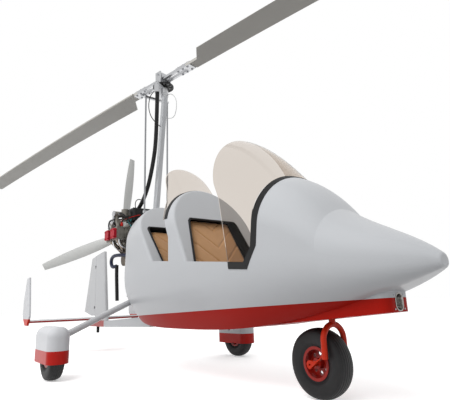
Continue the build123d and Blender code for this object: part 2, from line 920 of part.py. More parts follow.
with BuildPart() as ring_gear:
    with Locations(blade_plane):
        with Locations((0, 0, ring_top)):
            Cylinder(ring_radius, ring_thick, align=HANG)
        with Locations((0, 0, ring_top)):
            Cylinder(spindle_radius, 2 * ring_thick, mode=Mode.SUBTRACT)
            with PolarLocations(ring_hole_circle, ring_holes):
                Cylinder(ring_hole_radius, 2 * ring_thick, mode=Mode.SUBTRACT)

with BuildPart() as hub_bar:
    with Locations(blade_plane):
        Box(2 * bar_half, bar_width, bar_thick)
        for side in (1, -1):
            for level in (1, -1):
                with Locations((side * (strap_start + strap_end) / 2, 0, level * (bar_thick + strap_thick) / 2)):
                    Box(strap_end - strap_start, bar_width, strap_thick)
            with Locations((side * (window_start + window_end) / 2, 0, 0)):
                Box(window_end - window_start, bar_width - 2 * rail_width, 3 * bar_thick, mode=Mode.SUBTRACT)
        Box(block_length, block_width, teeter_z + block_above, align=STAND)
        with Locations((0, 0, teeter_z)):
            Cylinder(teeter_radius + axle_clearance, 2 * tower_width, rotation=(90, 0, 0), mode=Mode.SUBTRACT)

blade_crest = (blade_nose, blade_thick - blade_low)
BLADES = {}
for name, way in (("blade_fore", 1), ("blade_aft", -1)):
    span_plane = Plane(origin=blade_plane.origin, x_dir=blade_plane.x_dir * way, z_dir=blade_plane.z_dir)
    chord_dir = span_plane.y_dir
    root_plane = Plane(
        origin=span_plane.from_local_coords((blade_root, 0, 0)), x_dir=chord_dir, z_dir=span_plane.x_dir
    )
    droop_axis = Axis(span_plane.from_local_coords((blade_root, 0, -droop_radius)), chord_dir)
    with BuildPart() as blade:
        with BuildSketch(root_plane):
            with BuildLine():
                Line((blade_tail, -blade_low), (blade_nose, -blade_low))
                ThreePointArc((blade_nose, -blade_low), (blade_nose + blade_low, 0), blade_crest)
                TangentArc(blade_crest, (blade_tail, blade_edge - blade_low), tangent=(-1, 0))
                Line((blade_tail, blade_edge - blade_low), (blade_tail, -blade_low))
            make_face()
        revolve(axis=droop_axis, revolution_arc=degrees((rotor_radius - blade_root) / droop_radius))
        with BuildSketch(span_plane):
            with BuildLine():
                Polyline(
                    (blade_root - bar_thick, blade_nose + bar_thick),
                    (blade_root + root_sweep, blade_tail - blade_low),
                    (blade_root - bar_thick, blade_tail - blade_low),
                    close=True,
                )
            make_face()
        extrude(amount=2 * blade_thick, both=True, mode=Mode.SUBTRACT)
        with Locations(span_plane):
            with Locations(((bar_half + blade_root + root_overlap) / 2, 0, 0)):
                Box(blade_root + root_overlap - bar_half, bar_width, bar_thick)
    BLADES[name] = blade

# Propeller
prop_plane = Plane(origin=(prop_x, 0, prop_z), x_dir=(0, 1, 0), z_dir=(-1, 0, 0))
with BuildPart() as prop_hub:
    with Locations(prop_plane):
        Cylinder(prop_hub_radius, prop_hub_length)
        with Locations((0, 0, -prop_hub_length / 2)):
            Cylinder(prop_shaft, prop_shaft_length, align=HANG)

PROPS = {}
for number in range(prop_blades):
    swing = radians(prop_turn - 360.0 * number / prop_blades)
    out = Vector(0, sin(swing), cos(swing))
    across = Vector(0, cos(swing), -sin(swing))
    with BuildPart() as prop_blade:
        for share, chord, thick, pitch in PROP_SECTIONS:
            turn = radians(pitch)
            face_dir = across * cos(turn) + Vector(-1, 0, 0) * sin(turn)
            reach = prop_hub_radius + share * (prop_radius - prop_hub_radius)
            with BuildSketch(Plane(origin=prop_plane.origin + out * reach, x_dir=face_dir, z_dir=out)):
                with BuildLine():
                    ThreePointArc((-chord / 2, 0), (0, thick / 2), (chord / 2, 0))
                    ThreePointArc((chord / 2, 0), (0, -thick / 2), (-chord / 2, 0))
                make_face()
        loft()
        with Locations(prop_plane):
            Cylinder(prop_hub_radius, 3 * prop_hub_length, mode=Mode.SUBTRACT)
    PROPS[f"prop_blade_{number + 1}"] = prop_blade

# Engine: a flat four with its carburettors, manifolds and rocker covers
engine_x = (engine_front + engine_rear) / 2
head_mid = case_half + barrel_length + head_length / 2
carb_z = (airbox_top + crank_z + case_rise) / 2
head_top = crank_z + barrel_radius
with BuildPart() as engine_block:
    with Locations((engine_x, 0, crank_z)):
        Box(engine_front - engine_rear, 2 * case_half, 2 * case_rise)
    fillet(engine_block.edges().filter_by(Axis.X), case_round)
    for side in (1, -1):
        for rib in range(case_ribs):
            with Locations((engine_front - rib_pitch * (rib + 1), side * case_half, crank_z)):
                Box(fin_thin, 2 * rib_rise, 2 * (case_rise - case_round))
        for x in CYLINDER_X:
            with Locations((x, side * (case_half + barrel_length / 2), crank_z)):
                Cylinder(barrel_radius, barrel_length, rotation=(90, 0, 0))
            for fin in range(fin_count):
                with Locations((x, side * (case_half + fin_pitch * (fin + 1) - fin_thin), crank_z)):
                    Cylinder(fin_radius, fin_thin, rotation=(90, 0, 0))
            with Locations((x, side * head_mid, crank_z)):
                Box(2 * barrel_radius, head_length, 2 * barrel_radius)
            with BuildSketch(Plane.XZ.offset(-side * (head_mid + head_length / 2))):
                with Locations((x, crank_z)):
                    RectangleRounded(2 * cover_half, 2 * cover_half, cover_corner)
            extrude(amount=-side * cover_depth)
            for corner_x in (1, -1):
                for corner_z in (1, -1):
                    with Locations(
                        (
                            x + corner_x * cover_bolt,
                            side * (head_mid + head_length / 2 + cover_depth),
                            crank_z + corner_z * cover_bolt,
                        )
                    ):
                        Cylinder(bolt_radius, 2 * bolt_height, rotation=(90, 0, 0))
            for plug_step in (1, -1):
                with Locations((x + plug_step * plug_spread, side * (head_mid - plug_spread), head_top)):
                    Cylinder(plug_radius, plug_height, align=STAND)
            with Locations((x, side * head_mid, head_top)):
                Cylinder(pipe_radius, manifold_z - head_top, align=STAND)
        with Locations(((CYLINDER_X[0] + CYLINDER_X[1]) / 2, side * head_mid, manifold_z)):
            Cylinder(pipe_radius, CYLINDER_X[0] - CYLINDER_X[1] + 2 * pipe_radius, rotation=(0, 90, 0))
        with Locations((engine_x + carb_step, side * head_mid, manifold_z)):
            Cylinder(pipe_radius, carb_z - manifold_z, align=STAND)
        with Locations((engine_x + carb_step, side * (airbox_half + head_mid + carb_radius) / 2, carb_z)):
            Cylinder(carb_radius, head_mid + carb_radius - airbox_half, rotation=(90, 0, 0))
        with Locations((engine_x + carb_step, side * (airbox_half + carb_length / 2), carb_z - bowl_drop)):
            Cylinder(bowl_radius, bowl_drop, align=STAND)
        with Locations((engine_x + carb_step, side * (airbox_half + carb_length / 2), carb_z)):
            Cylinder(dome_radius, dome_rise, align=STAND)

gearbox_plane = Plane(origin=(engine_rear, 0, prop_z), x_dir=(0, 1, 0), z_dir=(-1, 0, 0))
with BuildPart() as gearbox:
    with BuildSketch(gearbox_plane):
        Circle(gearbox_radius)
    extrude(amount=gearbox_length)
    with BuildSketch(gearbox_plane):
        with PolarLocations(gearbox_radius, gearbox_ribs):
            Rectangle(2 * rib_rise, fin_thin)
    extrude(amount=gearbox_length)
    with Locations(gearbox_plane):
        with PolarLocations(gearbox_radius - 2 * bolt_radius, gearbox_ribs):
            with Locations((0, 0, gearbox_length)):
                Cylinder(bolt_radius, bolt_height, align=STAND)
    with BuildSketch(gearbox_plane.offset(gearbox_length)):
        Circle(flange_radius)
    extrude(amount=engine_rear - prop_gap_x - gearbox_length)
    with BuildSketch(Plane(origin=(prop_gap_x, 0, prop_z), x_dir=(0, 1, 0), z_dir=(1, 0, 0))):
        Circle(prop_shaft + axle_clearance)
    extrude(amount=prop_shaft_length, mode=Mode.SUBTRACT)

with BuildPart() as airbox:
    with Locations(((AIRBOX[0] + AIRBOX[1]) / 2, 0, crank_z + case_rise)):
        Box(
            AIRBOX[1] - AIRBOX[0],
            2 * airbox_half,
            airbox_top - crank_z - case_rise,
            align=STAND,
        )
    fillet(airbox.edges().filter_by(Axis.Z), airbox_corner)
    for side in (1, -1):
        for rib in range(airbox_ribs):
            with Locations((AIRBOX[1] - airbox_corner - airbox_pitch * rib, side * airbox_rib_y, airbox_top)):
                Box(fin_thin, airbox_rib_length, 2 * rib_rise)

with BuildPart() as exhaust:
    with Locations((exhaust_x, 0, exhaust_z)):
        Cylinder(muffler_radius, 2 * muffler_half, rotation=(90, 0, 0))
    for side in (1, -1):
        for x in CYLINDER_X:
            pipe_top = Vector(x, side * head_mid, crank_z - barrel_radius)
            pipe_low = Vector(exhaust_x, side * (muffler_half - muffler_radius), exhaust_z)
            run = pipe_low - pipe_top
            with BuildSketch(Plane(origin=pipe_top - run.normalized() * muffler_radius, z_dir=run)):
                Circle(pipe_radius)
            extrude(amount=run.length + muffler_radius)
    split(bisect_by=Plane.XY.offset(crank_z - barrel_radius), keep=Keep.BOTTOM)

with BuildPart() as radiator:
    with Locations((radiator_front - radiator_depth / 2, 0, radiator_z)):
        Box(radiator_depth, 2 * radiator_half, 2 * radiator_rise)

# Main gear
with BuildPart() as gear_bow:
    with BuildLine(Plane.XY):
        FilletPolyline(*BOW, radius=bow_bend)
    with BuildSketch(Plane(origin=BOW[0], z_dir=Vector(*BOW[1]) - Vector(*BOW[0]))):
        Circle(bow_radius)
    sweep()
    split(bisect_by=Plane.XZ.offset(half_track - plate_out), keep=Keep.BOTTOM)
    split(bisect_by=Plane.XZ.offset(plate_out - half_track), keep=Keep.TOP)

AXLES, SPATS, RIMS, TYRES = {}, {}, {}, {}


def spin_plane(x, y):
    """Plane through a wheel's axle, with the axle to the right and the radius upward."""
    return Plane(origin=(x, y, tyre_radius), x_dir=(0, 1, 0), z_dir=(1, 0, 0))


WHEELS = (
    ("left", main_axle_x, half_track, 1),
    ("right", main_axle_x, -half_track, -1),
    ("nose", nose_axle_x, 0.0, 1),
)
for name, x, y, side in WHEELS:
    axle = Axis((x, y, tyre_radius), (0, 1, 0))
    with BuildPart() as tyre:
        with BuildSketch(spin_plane(x, y)):
            with BuildLine():
                Line((-bead_half, bead_radius), (bead_half, bead_radius))
                Line((bead_half, bead_radius), (bead_half, lip_clear))
                ThreePointArc((bead_half, lip_clear), (tyre_half, tyre_belly), (tread_half, tread_radius))
                ThreePointArc((tread_half, tread_radius), (0, tyre_radius), (-tread_half, tread_radius))
                ThreePointArc((-tread_half, tread_radius), (-tyre_half, tyre_belly), (-bead_half, lip_clear))
                Line((-bead_half, lip_clear), (-bead_half, bead_radius))
            make_face()
        revolve(axis=axle)
    TYRES[name] = tyre
    with BuildPart() as rim:
        with BuildSketch(spin_plane(x, y)):
            with Locations((0, bead_radius)):
                Rectangle(2 * (bead_half + rim_lip), rim_wall, align=(Align.CENTER, Align.MAX))
            for way in (1, -1):
                with Locations((way * (bead_half + rim_lip / 2), rim_lip_radius)):
                    Rectangle(rim_lip, rim_lip_radius - bead_radius + rim_wall, align=(Align.CENTER, Align.MAX))
            with Locations((0, axle_radius + axle_clearance)):
                Rectangle(
                    2 * hub_half, hub_radius - axle_radius - axle_clearance, align=(Align.CENTER, Align.MIN)
                )
                Rectangle(rim_web, bead_radius - rim_wall / 2 - axle_radius, align=(Align.CENTER, Align.MIN))
        revolve(axis=axle)
        with Locations(Plane(origin=(x, y, tyre_radius), x_dir=(1, 0, 0), z_dir=(0, 1, 0))):
            with PolarLocations(rim_hole_circle, rim_holes):
                Cylinder(rim_hole_radius, 4 * rim_web, mode=Mode.SUBTRACT)
    RIMS[name] = rim

for name, x, y, side in WHEELS[:2]:
    with BuildPart() as axle_foot:
        with Locations((x, y - side * (plate_in + plate_out) / 2, tyre_radius - plate_low)):
            Box(
                2 * plate_half,
                plate_out - plate_in,
                plate_low + plate_high,
                align=STAND,
            )
        with Locations((x, y - side * (plate_out - hub_half) / 2, tyre_radius)):
            Cylinder(axle_radius, plate_out + hub_half, rotation=(90, 0, 0))
    AXLES[name] = axle_foot
    with BuildPart() as spat:
        with BuildSketch(Plane.XY.offset(spat_foot)):
            with Locations((x + (spat_front + spat_rear) / 2, y)):
                RectangleRounded(spat_front - spat_rear, 2 * spat_half, spat_corner)
        extrude(amount=spat_top - spat_foot)
        fillet(spat.faces().sort_by(Axis.Z)[-1].edges(), spat_round)
        offset(amount=-spat_wall, openings=spat.faces().sort_by(Axis.Z)[0])
        with Locations((x, y - side * spat_half, BOW[0][2])):
            Box(4 * bow_radius, 4 * spat_wall, 4 * bow_radius, mode=Mode.SUBTRACT)
    SPATS[name] = spat

# Nose fork: a bent tube over the tyre with a swept arm back to the axle on each leg
arch_spring = fork_crown_z - fork_tube - fork_half
fork_path = (
    (steer_x, -fork_half, leg_foot),
    (steer_x, -fork_half, arch_spring),
    (steer_x, 0, fork_crown_z - fork_tube),
    (steer_x, fork_half, arch_spring),
    (steer_x, fork_half, leg_foot),
)
arm_mid_x = (steer_x + nose_axle_x) / 2
with BuildPart() as nose_fork:
    with BuildLine(Plane.XY):
        Line(fork_path[0], fork_path[1])
        ThreePointArc(*fork_path[1:4])
        Line(fork_path[3], fork_path[4])
    with BuildSketch(Plane(origin=fork_path[0], z_dir=(0, 0, 1))):
        Circle(fork_tube)
    sweep()
    with Locations((steer_x, 0, fork_crown_z - fork_tube)):
        Cylinder(stem_radius, stem_length, align=STAND)
    for side in (1, -1):
        with BuildSketch(Plane.XZ.offset(-side * fork_half)):
            with BuildLine():
                Line((steer_x, arm_foot), (steer_x, arm_top))
                ThreePointArc(
                    (steer_x, arm_top),
                    (arm_mid_x + arm_sag, (arm_top + tyre_radius + dropout_radius) / 2 - arm_sag),
                    (nose_axle_x, tyre_radius + dropout_radius),
                )
                ThreePointArc(
                    (nose_axle_x, tyre_radius + dropout_radius),
                    (nose_axle_x - dropout_radius, tyre_radius),
                    (nose_axle_x, tyre_radius - dropout_radius),
                )
                Line((nose_axle_x, tyre_radius - dropout_radius), (steer_x, arm_foot))
            make_face()
        extrude(amount=arm_thick / 2, both=True)
    with Locations((nose_axle_x, 0, tyre_radius)):
        Cylinder(axle_radius, 2 * fork_half + arm_thick, rotation=(90, 0, 0))
        Cylinder(tow_radius, 4 * fork_half, rotation=(90, 0, 0), mode=Mode.SUBTRACT)

# Tail
with BuildPart() as stabilizer:
    with BuildSketch(Plane.XY.offset(tail_boom_top)):
        with BuildLine():
            Polyline(*STABILIZER, *((x, -y) for x, y in STABILIZER[2:0:-1]), close=True)
        make_face()
    extrude(amount=stab_thick)
    lead_x = (STABILIZER[0][0] + STABILIZER[1][0]) / 2
    stab_front = stabilizer.edges().filter_by_position(Axis.X, lead_x - stab_thick, lead_x + stab_thick)
    fillet(stab_front, stab_round)
    with BuildSketch(Plane.XZ):
        with BuildLine():
            Polyline(
                (STABILIZER[0][0], tail_boom_top),
                (STABILIZER[0][0], tail_boom_top + stab_thick),
                (STABILIZER[1][0] - stab_taper, tail_boom_top + stab_thick),
                (STABILIZER[2][0], tail_boom_top + tail_edge),
                (STABILIZER[2][0], tail_boom_top),
                close=True,
            )
        make_face()
    extrude(amount=2 * stab_half_span, both=True, mode=Mode.INTERSECT)

TIPS = {}
for name, side in (("tip_fin_left", 1), ("tip_fin_right", -1)):
    with BuildPart() as tip_fin:
        with BuildSketch(Plane.XZ.offset(-side * (stab_half_span + tip_fin_thick / 2))):
            with BuildLine():
                Polyline(*TIP_FIN, close=True)
            make_face()
        extrude(amount=tip_fin_thick / 2, both=True)
        fillet(tip_fin.edges().filter_by(Axis.Y, reverse=True), tip_fin_round)
    TIPS[name] = tip_fin

with BuildPart() as centre_fin:
    with BuildSketch(Plane.XZ):
        with BuildLine():
            Polyline(
                (FIN_LEAD[0][0], tail_boom_top),
                FIN_LEAD[1],
                (fin_hinge_x + rudder_nose + hinge_gap, FIN_LEAD[1][1] - fin_top_drop),
                (fin_hinge_x + rudder_nose + hinge_gap, tail_boom_top),
                close=True,
            )
        make_face()
    extrude(amount=fin_thick / 2, both=True)
    fin_lead_x = (FIN_LEAD[0][0] + FIN_LEAD[1][0]) / 2
    fin_front = centre_fin.edges().filter_by_position(Axis.X, fin_lead_x - fin_thick, fin_lead_x + fin_thick)
    fillet(fin_front, fin_round)
    for height in HINGES:
        with Locations((fin_hinge_x, 0, height)):
            Box(rudder_nose + 2 * hinge_gap, hinge_lug, hinge_lug, align=(Align.MIN, Align.CENTER, Align.CENTER))
            Cylinder(hinge_lug / 2, hinge_lug)
            Cylinder(hinge_pin, hinge_pin_length)

with BuildPart() as rudder:
    with BuildSketch(Plane.XZ):
        with BuildLine():
            Polyline((fin_hinge_x, rudder_foot), *RUDDER, (fin_hinge_x, rudder_top), close=True)
        make_face()
    extrude(amount=rudder_nose, both=True)
    with BuildSketch(Plane.XY):
        with BuildLine():
            Polyline(
                (fin_hinge_x, rudder_nose),
                (RUDDER[1][0], tail_edge / 2),
                (RUDDER[1][0], -tail_edge / 2),
                (fin_hinge_x, -rudder_nose),
                close=True,
            )
        make_face()
    extrude(amount=2 * rudder_top, mode=Mode.INTERSECT)
    with Locations((fin_hinge_x, 0, rudder_foot)):
        Cylinder(rudder_nose, rudder_top - rudder_foot, align=STAND)
    for height in HINGES:
        with Locations((fin_hinge_x, 0, height)):
            Box(
                2 * (rudder_nose + hinge_gap),
                4 * rudder_nose,
                hinge_lug + 2 * hinge_gap,
                mode=Mode.SUBTRACT,
            )
            Cylinder(hinge_pin + axle_clearance, hinge_pin_length + 2 * hinge_gap, mode=Mode.SUBTRACT)

with BuildPart() as tail_skid:
    with Locations((skid_x, 0, BOOM[-3][1])):
        Cylinder(skid_radius, skid_length, align=HANG)

pieces = {
    "keel_boom": keel_boom,
    "mast": mast,
    "rotor_head": rotor_head,
    "prerotator": prerotator,
    "flex_shaft": flex_shaft,
    **RODS,
    "rotor_spindle": rotor_spindle,
    "ring_gear": ring_gear,
    "hub_bar": hub_bar,
    **BLADES,
    "prop_hub": prop_hub,
    **PROPS,
    "engine_block": engine_block,
    "gearbox": gearbox,
    "airbox": airbox,
    "exhaust": exhaust,
    "radiator": radiator,
    "gear_bow": gear_bow,
    "axle_left": AXLES["left"],
    "axle_right": AXLES["right"],
    "spat_left": SPATS["left"],
    "spat_right": SPATS["right"],
    "rim_left": RIMS["left"],
    "rim_right": RIMS["right"],
    "tyre_left": TYRES["left"],
    "tyre_right": TYRES["right"],
    "nose_fork": nose_fork,
    "nose_rim": RIMS["nose"],
    "nose_tyre": TYRES["nose"],
    "stabilizer": stabilizer,
    **TIPS,
    "centre_fin": centre_fin,
    "rudder": rudder,
    "tail_skid": tail_skid,
    "hull_shell": hull_shell,
    "belly_pan": belly_pan,
    "centre_fairing": FAIRINGS["centre"],
    "rear_fairing": FAIRINGS["rear"],
    "front_screen": front_screen,
    "front_trim": front_trim,
    "rear_screen": rear_screen,
    "rear_trim": rear_trim,
    "seat_front": SEATS["seat_front"],
    "seat_rear": SEATS["seat_rear"],
    "seat_base": seat_base,
    "instrument_panel": instrument_panel,
    "control_stick": control_stick,
    "landing_lamp": landing_lamp,
}

for name, piece in pieces.items():
    piece.part.label = name
    export_step(piece.part, f"parts/{name}.step")
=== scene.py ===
"""Looks of an open two-seat gyrocopter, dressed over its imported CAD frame.

Units are metres in the CAD frame: +X to the nose, +Y to port, +Z up, the ground at zero. Finish sizes are in
millimetres.
"""

import json
import logging
import math
from dataclasses import dataclass, field
from enum import Enum
from itertools import product

import bmesh
import bpy
from mathutils import Matrix, Vector


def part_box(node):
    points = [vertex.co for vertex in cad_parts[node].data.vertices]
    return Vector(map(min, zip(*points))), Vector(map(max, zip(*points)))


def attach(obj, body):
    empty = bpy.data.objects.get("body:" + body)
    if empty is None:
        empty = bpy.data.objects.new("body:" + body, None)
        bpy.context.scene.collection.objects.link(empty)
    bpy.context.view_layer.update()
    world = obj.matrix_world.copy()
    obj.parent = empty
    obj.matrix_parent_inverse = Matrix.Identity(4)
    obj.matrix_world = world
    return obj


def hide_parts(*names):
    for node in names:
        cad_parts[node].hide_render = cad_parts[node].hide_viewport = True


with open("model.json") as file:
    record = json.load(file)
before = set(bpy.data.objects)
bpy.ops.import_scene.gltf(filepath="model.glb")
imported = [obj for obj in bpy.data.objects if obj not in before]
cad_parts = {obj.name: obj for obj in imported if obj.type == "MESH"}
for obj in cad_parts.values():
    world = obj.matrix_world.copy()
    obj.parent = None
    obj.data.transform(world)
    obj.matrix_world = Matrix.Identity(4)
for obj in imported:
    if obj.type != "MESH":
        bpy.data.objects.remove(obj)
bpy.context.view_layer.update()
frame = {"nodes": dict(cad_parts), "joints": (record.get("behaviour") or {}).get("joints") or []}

LOG = logging.getLogger("gyrocopter")
MM = 0.001


def linear(hex_colour: str) -> tuple[float, float, float, float]:
    """Turn an sRGB hex colour into linear RGBA.

    Args:
        hex_colour: Six hex digits after a hash.

    Returns:
        Linear red, green, blue and an alpha of one.
    """
    parts = [int(hex_colour[i : i + 2], 16) / 255 for i in (1, 3, 5)]
    red, green, blue = (p / 12.92 if p <= 0.04045 else ((p + 0.055) / 1.055) ** 2.4 for p in parts)
    return red, green, blue, 1.0


def add_node(
    tree: bpy.types.NodeTree, kind: str, inputs: dict | None = None, **settings: object
) -> bpy.types.Node:
    """Add a shader node with its settings and its inputs.

    Args:
        tree: Node tree that gets the node.
        kind: Blender's node type name.
        inputs: Input name or index to a value, or to the output socket that feeds it.
        **settings: Attributes set on the node.

    Returns:
        The new node.
    """
    node = tree.nodes.new(kind)
    for name, value in settings.items():
        setattr(node, name, value)
    for name, value in (inputs or {}).items():
        if isinstance(value, bpy.types.NodeSocket):
            tree.links.new(value, node.inputs[name])
        else:
            node.inputs[name].default_value = value
    return node


def start_material(name: str) -> tuple[bpy.types.Material, bpy.types.NodeTree, bpy.types.Node, bpy.types.NodeSocket]:
    """Make an empty node material with one shader.

    Args:
        name: Name of the material.

    Returns:
        The material, its tree, its shader and the Object coordinates in millimetres.
    """
    material = bpy.data.materials.new(name)
    material.use_nodes = True
    tree = material.node_tree
    shader = tree.nodes["Principled BSDF"]
    coords = add_node(tree, "ShaderNodeTexCoord")
    scaled = add_node(tree, "ShaderNodeMapping", {"Vector": coords.outputs["Object"], "Scale": (1 / MM,) * 3})
    return material, tree, shader, scaled.outputs["Vector"]


@dataclass(frozen=True)
class Finish:
    """One surface finish: a colour that drifts to a second one, gloss, and a fine grain.

    Attributes:
        name: What the material is and how it was made.
        colour: Main sRGB colour.
        drift: sRGB colour that it drifts to in patches.
        roughness: Lowest and highest roughness.
        metallic: Share of metal.
        coat: Weight of the clear coat.
        patch_mm: Size of the colour patches.
        grain_mm: Size of the grain.
        grain_depth_mm: Depth of the grain.
        specular: Strength of the reflection.
    """

    name: str
    colour: str
    drift: str
    roughness: tuple[float, float]
    metallic: float = 0.0
    coat: float = 0.0
    patch_mm: float = 260.0
    grain_mm: float = 3.0
    grain_depth_mm: float = 0.02
    specular: float = 0.4

    def colour_socket(self, tree: bpy.types.NodeTree, coords: bpy.types.NodeSocket) -> bpy.types.NodeSocket:
        """Give the socket with the drifting base colour.

        Args:
            tree: Node tree of the material.
            coords: Object coordinates in millimetres.

        Returns:
            Colour socket.
        """
        return self.drifting(tree, coords, self.colour, self.drift)

    def drifting(
        self, tree: bpy.types.NodeTree, coords: bpy.types.NodeSocket, colour: str, drift: str
    ) -> bpy.types.NodeSocket:
        """Mix two colours in soft patches.

        Args:
            tree: Node tree of the material.
            coords: Object coordinates in millimetres.
            colour: Main sRGB colour.
            drift: sRGB colour of the patches.

        Returns:
            Colour socket.
        """
        patches = add_node(
            tree, "ShaderNodeTexNoise", {"Vector": coords, "Scale": 1 / self.patch_mm, "Detail": 4.0, "Roughness": 0.6}
        )
        mix = add_node(tree, "ShaderNodeMix", {"Factor": patches.outputs["Fac"]}, data_type="RGBA")
        mix.inputs["A"].default_value = linear(colour)
        mix.inputs["B"].default_value = linear(drift)
        return mix.outputs["Result"]

    def height_socket(self, tree: bpy.types.NodeTree, coords: bpy.types.NodeSocket) -> bpy.types.NodeSocket:
        """Give the socket with the grain's height.

        Args:
            tree: Node tree of the material.
            coords: Object coordinates in millimetres.

        Returns:
            Height socket.
        """
        grain = add_node(
            tree, "ShaderNodeTexNoise", {"Vector": coords, "Scale": 1 / self.grain_mm, "Detail": 3.0}
        )
        return grain.outputs["Fac"]

    def build(self) -> bpy.types.Material:
        """Build the material.

        Returns:
            The finished material.
        """
        material, tree, shader, coords = start_material(self.name)
        tree.links.new(self.colour_socket(tree, coords), shader.inputs["Base Color"])
        wear = add_node(tree, "ShaderNodeTexNoise", {"Vector": coords, "Scale": 3 / self.patch_mm, "Detail": 6.0})
        gloss = add_node(
            tree,
            "ShaderNodeMapRange",
            {"Value": wear.outputs["Fac"], "To Min": self.roughness[0], "To Max": self.roughness[1]},
        )
        bump = add_node(
            tree,
            "ShaderNodeBump",
            {"Height": self.height_socket(tree, coords), "Strength": 1.0, "Distance": self.grain_depth_mm * MM},
        )
        tree.links.new(gloss.outputs["Result"], shader.inputs["Roughness"])
        tree.links.new(bump.outputs["Normal"], shader.inputs["Normal"])
        shader.inputs["Metallic"].default_value = self.metallic
        shader.inputs["Coat Weight"].default_value = self.coat
        shader.inputs["Coat Roughness"].default_value = 0.04
        shader.inputs["Specular IOR Level"].default_value = self.specular
        self.dress(shader)
        return material

    def dress(self, shader: bpy.types.Node) -> None:
        """Set what only some finishes have on the shader."""


@dataclass(frozen=True)
class Gelcoat(Finish):
    """Gelcoat off a polished mould, even over long stretches."""

    patch_mm: float = 900.0
    grain_mm: float = 40.0
    grain_depth_mm: float = 0.01


@dataclass(frozen=True)
class TwoTone(Finish):
    """Paint in two colours that meet at a masked straight edge.

    Attributes:
        second: sRGB colour on the far side of the edge.
        normal: Direction across the edge, towards the second colour.
        edge_mm: Distance of the edge from the origin along that direction.
        both_sides: Whether the second colour is also past the mirrored edge.
    """

    second: str = "#a3201a"
    normal: tuple[float, float, float] = (0.0, 0.0, -1.0)
    edge_mm: float = -210.0
    both_sides: bool = False

    def colour_socket(self, tree: bpy.types.NodeTree, coords: bpy.types.NodeSocket) -> bpy.types.NodeSocket:
        """Give the socket with both colours.

        Args:
            tree: Node tree of the material.
            coords: Object coordinates in millimetres.

        Returns:
            Colour socket.
        """
        across = add_node(tree, "ShaderNodeVectorMath", {0: coords, 1: self.normal}, operation="DOT_PRODUCT")
        reach = across.outputs["Value"]
        if self.both_sides:
            reach = add_node(tree, "ShaderNodeMath", {0: reach}, operation="ABSOLUTE").outputs["Value"]
        past = add_node(tree, "ShaderNodeMath", {0: reach, 1: self.edge_mm}, operation="GREATER_THAN")
        mix = add_node(tree, "ShaderNodeMix", {"Factor": past.outputs["Value"]}, data_type="RGBA")
        tree.links.new(self.drifting(tree, coords, self.colour, self.drift), mix.inputs["A"])
        mix.inputs["B"].default_value = linear(self.second)
        return mix.outputs["Result"]


@dataclass(frozen=True)
class MaskedGelcoat(TwoTone):
    """Gelcoat in two colours, with a thin coat."""

    coat: float = 0.05
    patch_mm: float = 900.0
    grain_mm: float = 40.0
    grain_depth_mm: float = 0.01
    specular: float = 0.12


@dataclass(frozen=True)
class TintedSheet(Finish):
    """Clear acrylic sheet with a warm tint and fine wiping marks."""

    def dress(self, shader: bpy.types.Node) -> None:
        """Let light through the sheet."""
        shader.inputs["Transmission Weight"].default_value = 1.0
        # Below acrylic's own index, because a thin bent sheet hardly shifts what lies behind it
        shader.inputs["IOR"].default_value = 1.12


@dataclass(frozen=True)
class Leather(Finish):
    """Soft leather with a pebbled grain."""

    def height_socket(self, tree: bpy.types.NodeTree, coords: bpy.types.NodeSocket) -> bpy.types.NodeSocket:
        """Give the height of the pebbles.

        Args:
            tree: Node tree of the material.
            coords: Object coordinates in millimetres.

        Returns:
            Height socket.
        """
        pebbles = add_node(tree, "ShaderNodeTexVoronoi", {"Vector": coords, "Scale": 1 / self.grain_mm})
        return pebbles.outputs["Distance"]

    def dress(self, shader: bpy.types.Node) -> None:
        """Give the leather its soft sheen."""
        shader.inputs["Sheen Weight"].default_value = 0.25
        shader.inputs["Sheen Roughness"].default_value = 0.4


@dataclass(frozen=True)
class Ribbed(Finish):
    """A surface with even ribs across Y: a tyre's tread or a radiator's fins.

    Attributes:
        centre_mm: Place of the ribs' middle.
        pitch_mm: Distance between ribs; a radiator's is coarser than real, so that it shows.
    """

    centre_mm: float = 0.0
    pitch_mm: float = 14.0

    def height_socket(self, tree: bpy.types.NodeTree, coords: bpy.types.NodeSocket) -> bpy.types.NodeSocket:
        """Give the height of the ribs.

        Args:
            tree: Node tree of the material.
            coords: Object coordinates in millimetres.

        Returns:
            Height socket.
        """
        moved = add_node(tree, "ShaderNodeVectorMath", {0: coords, 1: (0.0, -self.centre_mm, 0.0)}, operation="ADD")
        wave = add_node(
            tree,
            "ShaderNodeTexWave",
            {"Vector": moved.outputs["Vector"], "Scale": math.pi / (10 * self.pitch_mm), "Distortion": 0.0},
            bands_direction="Y",
        )
        return wave.outputs["Fac"]


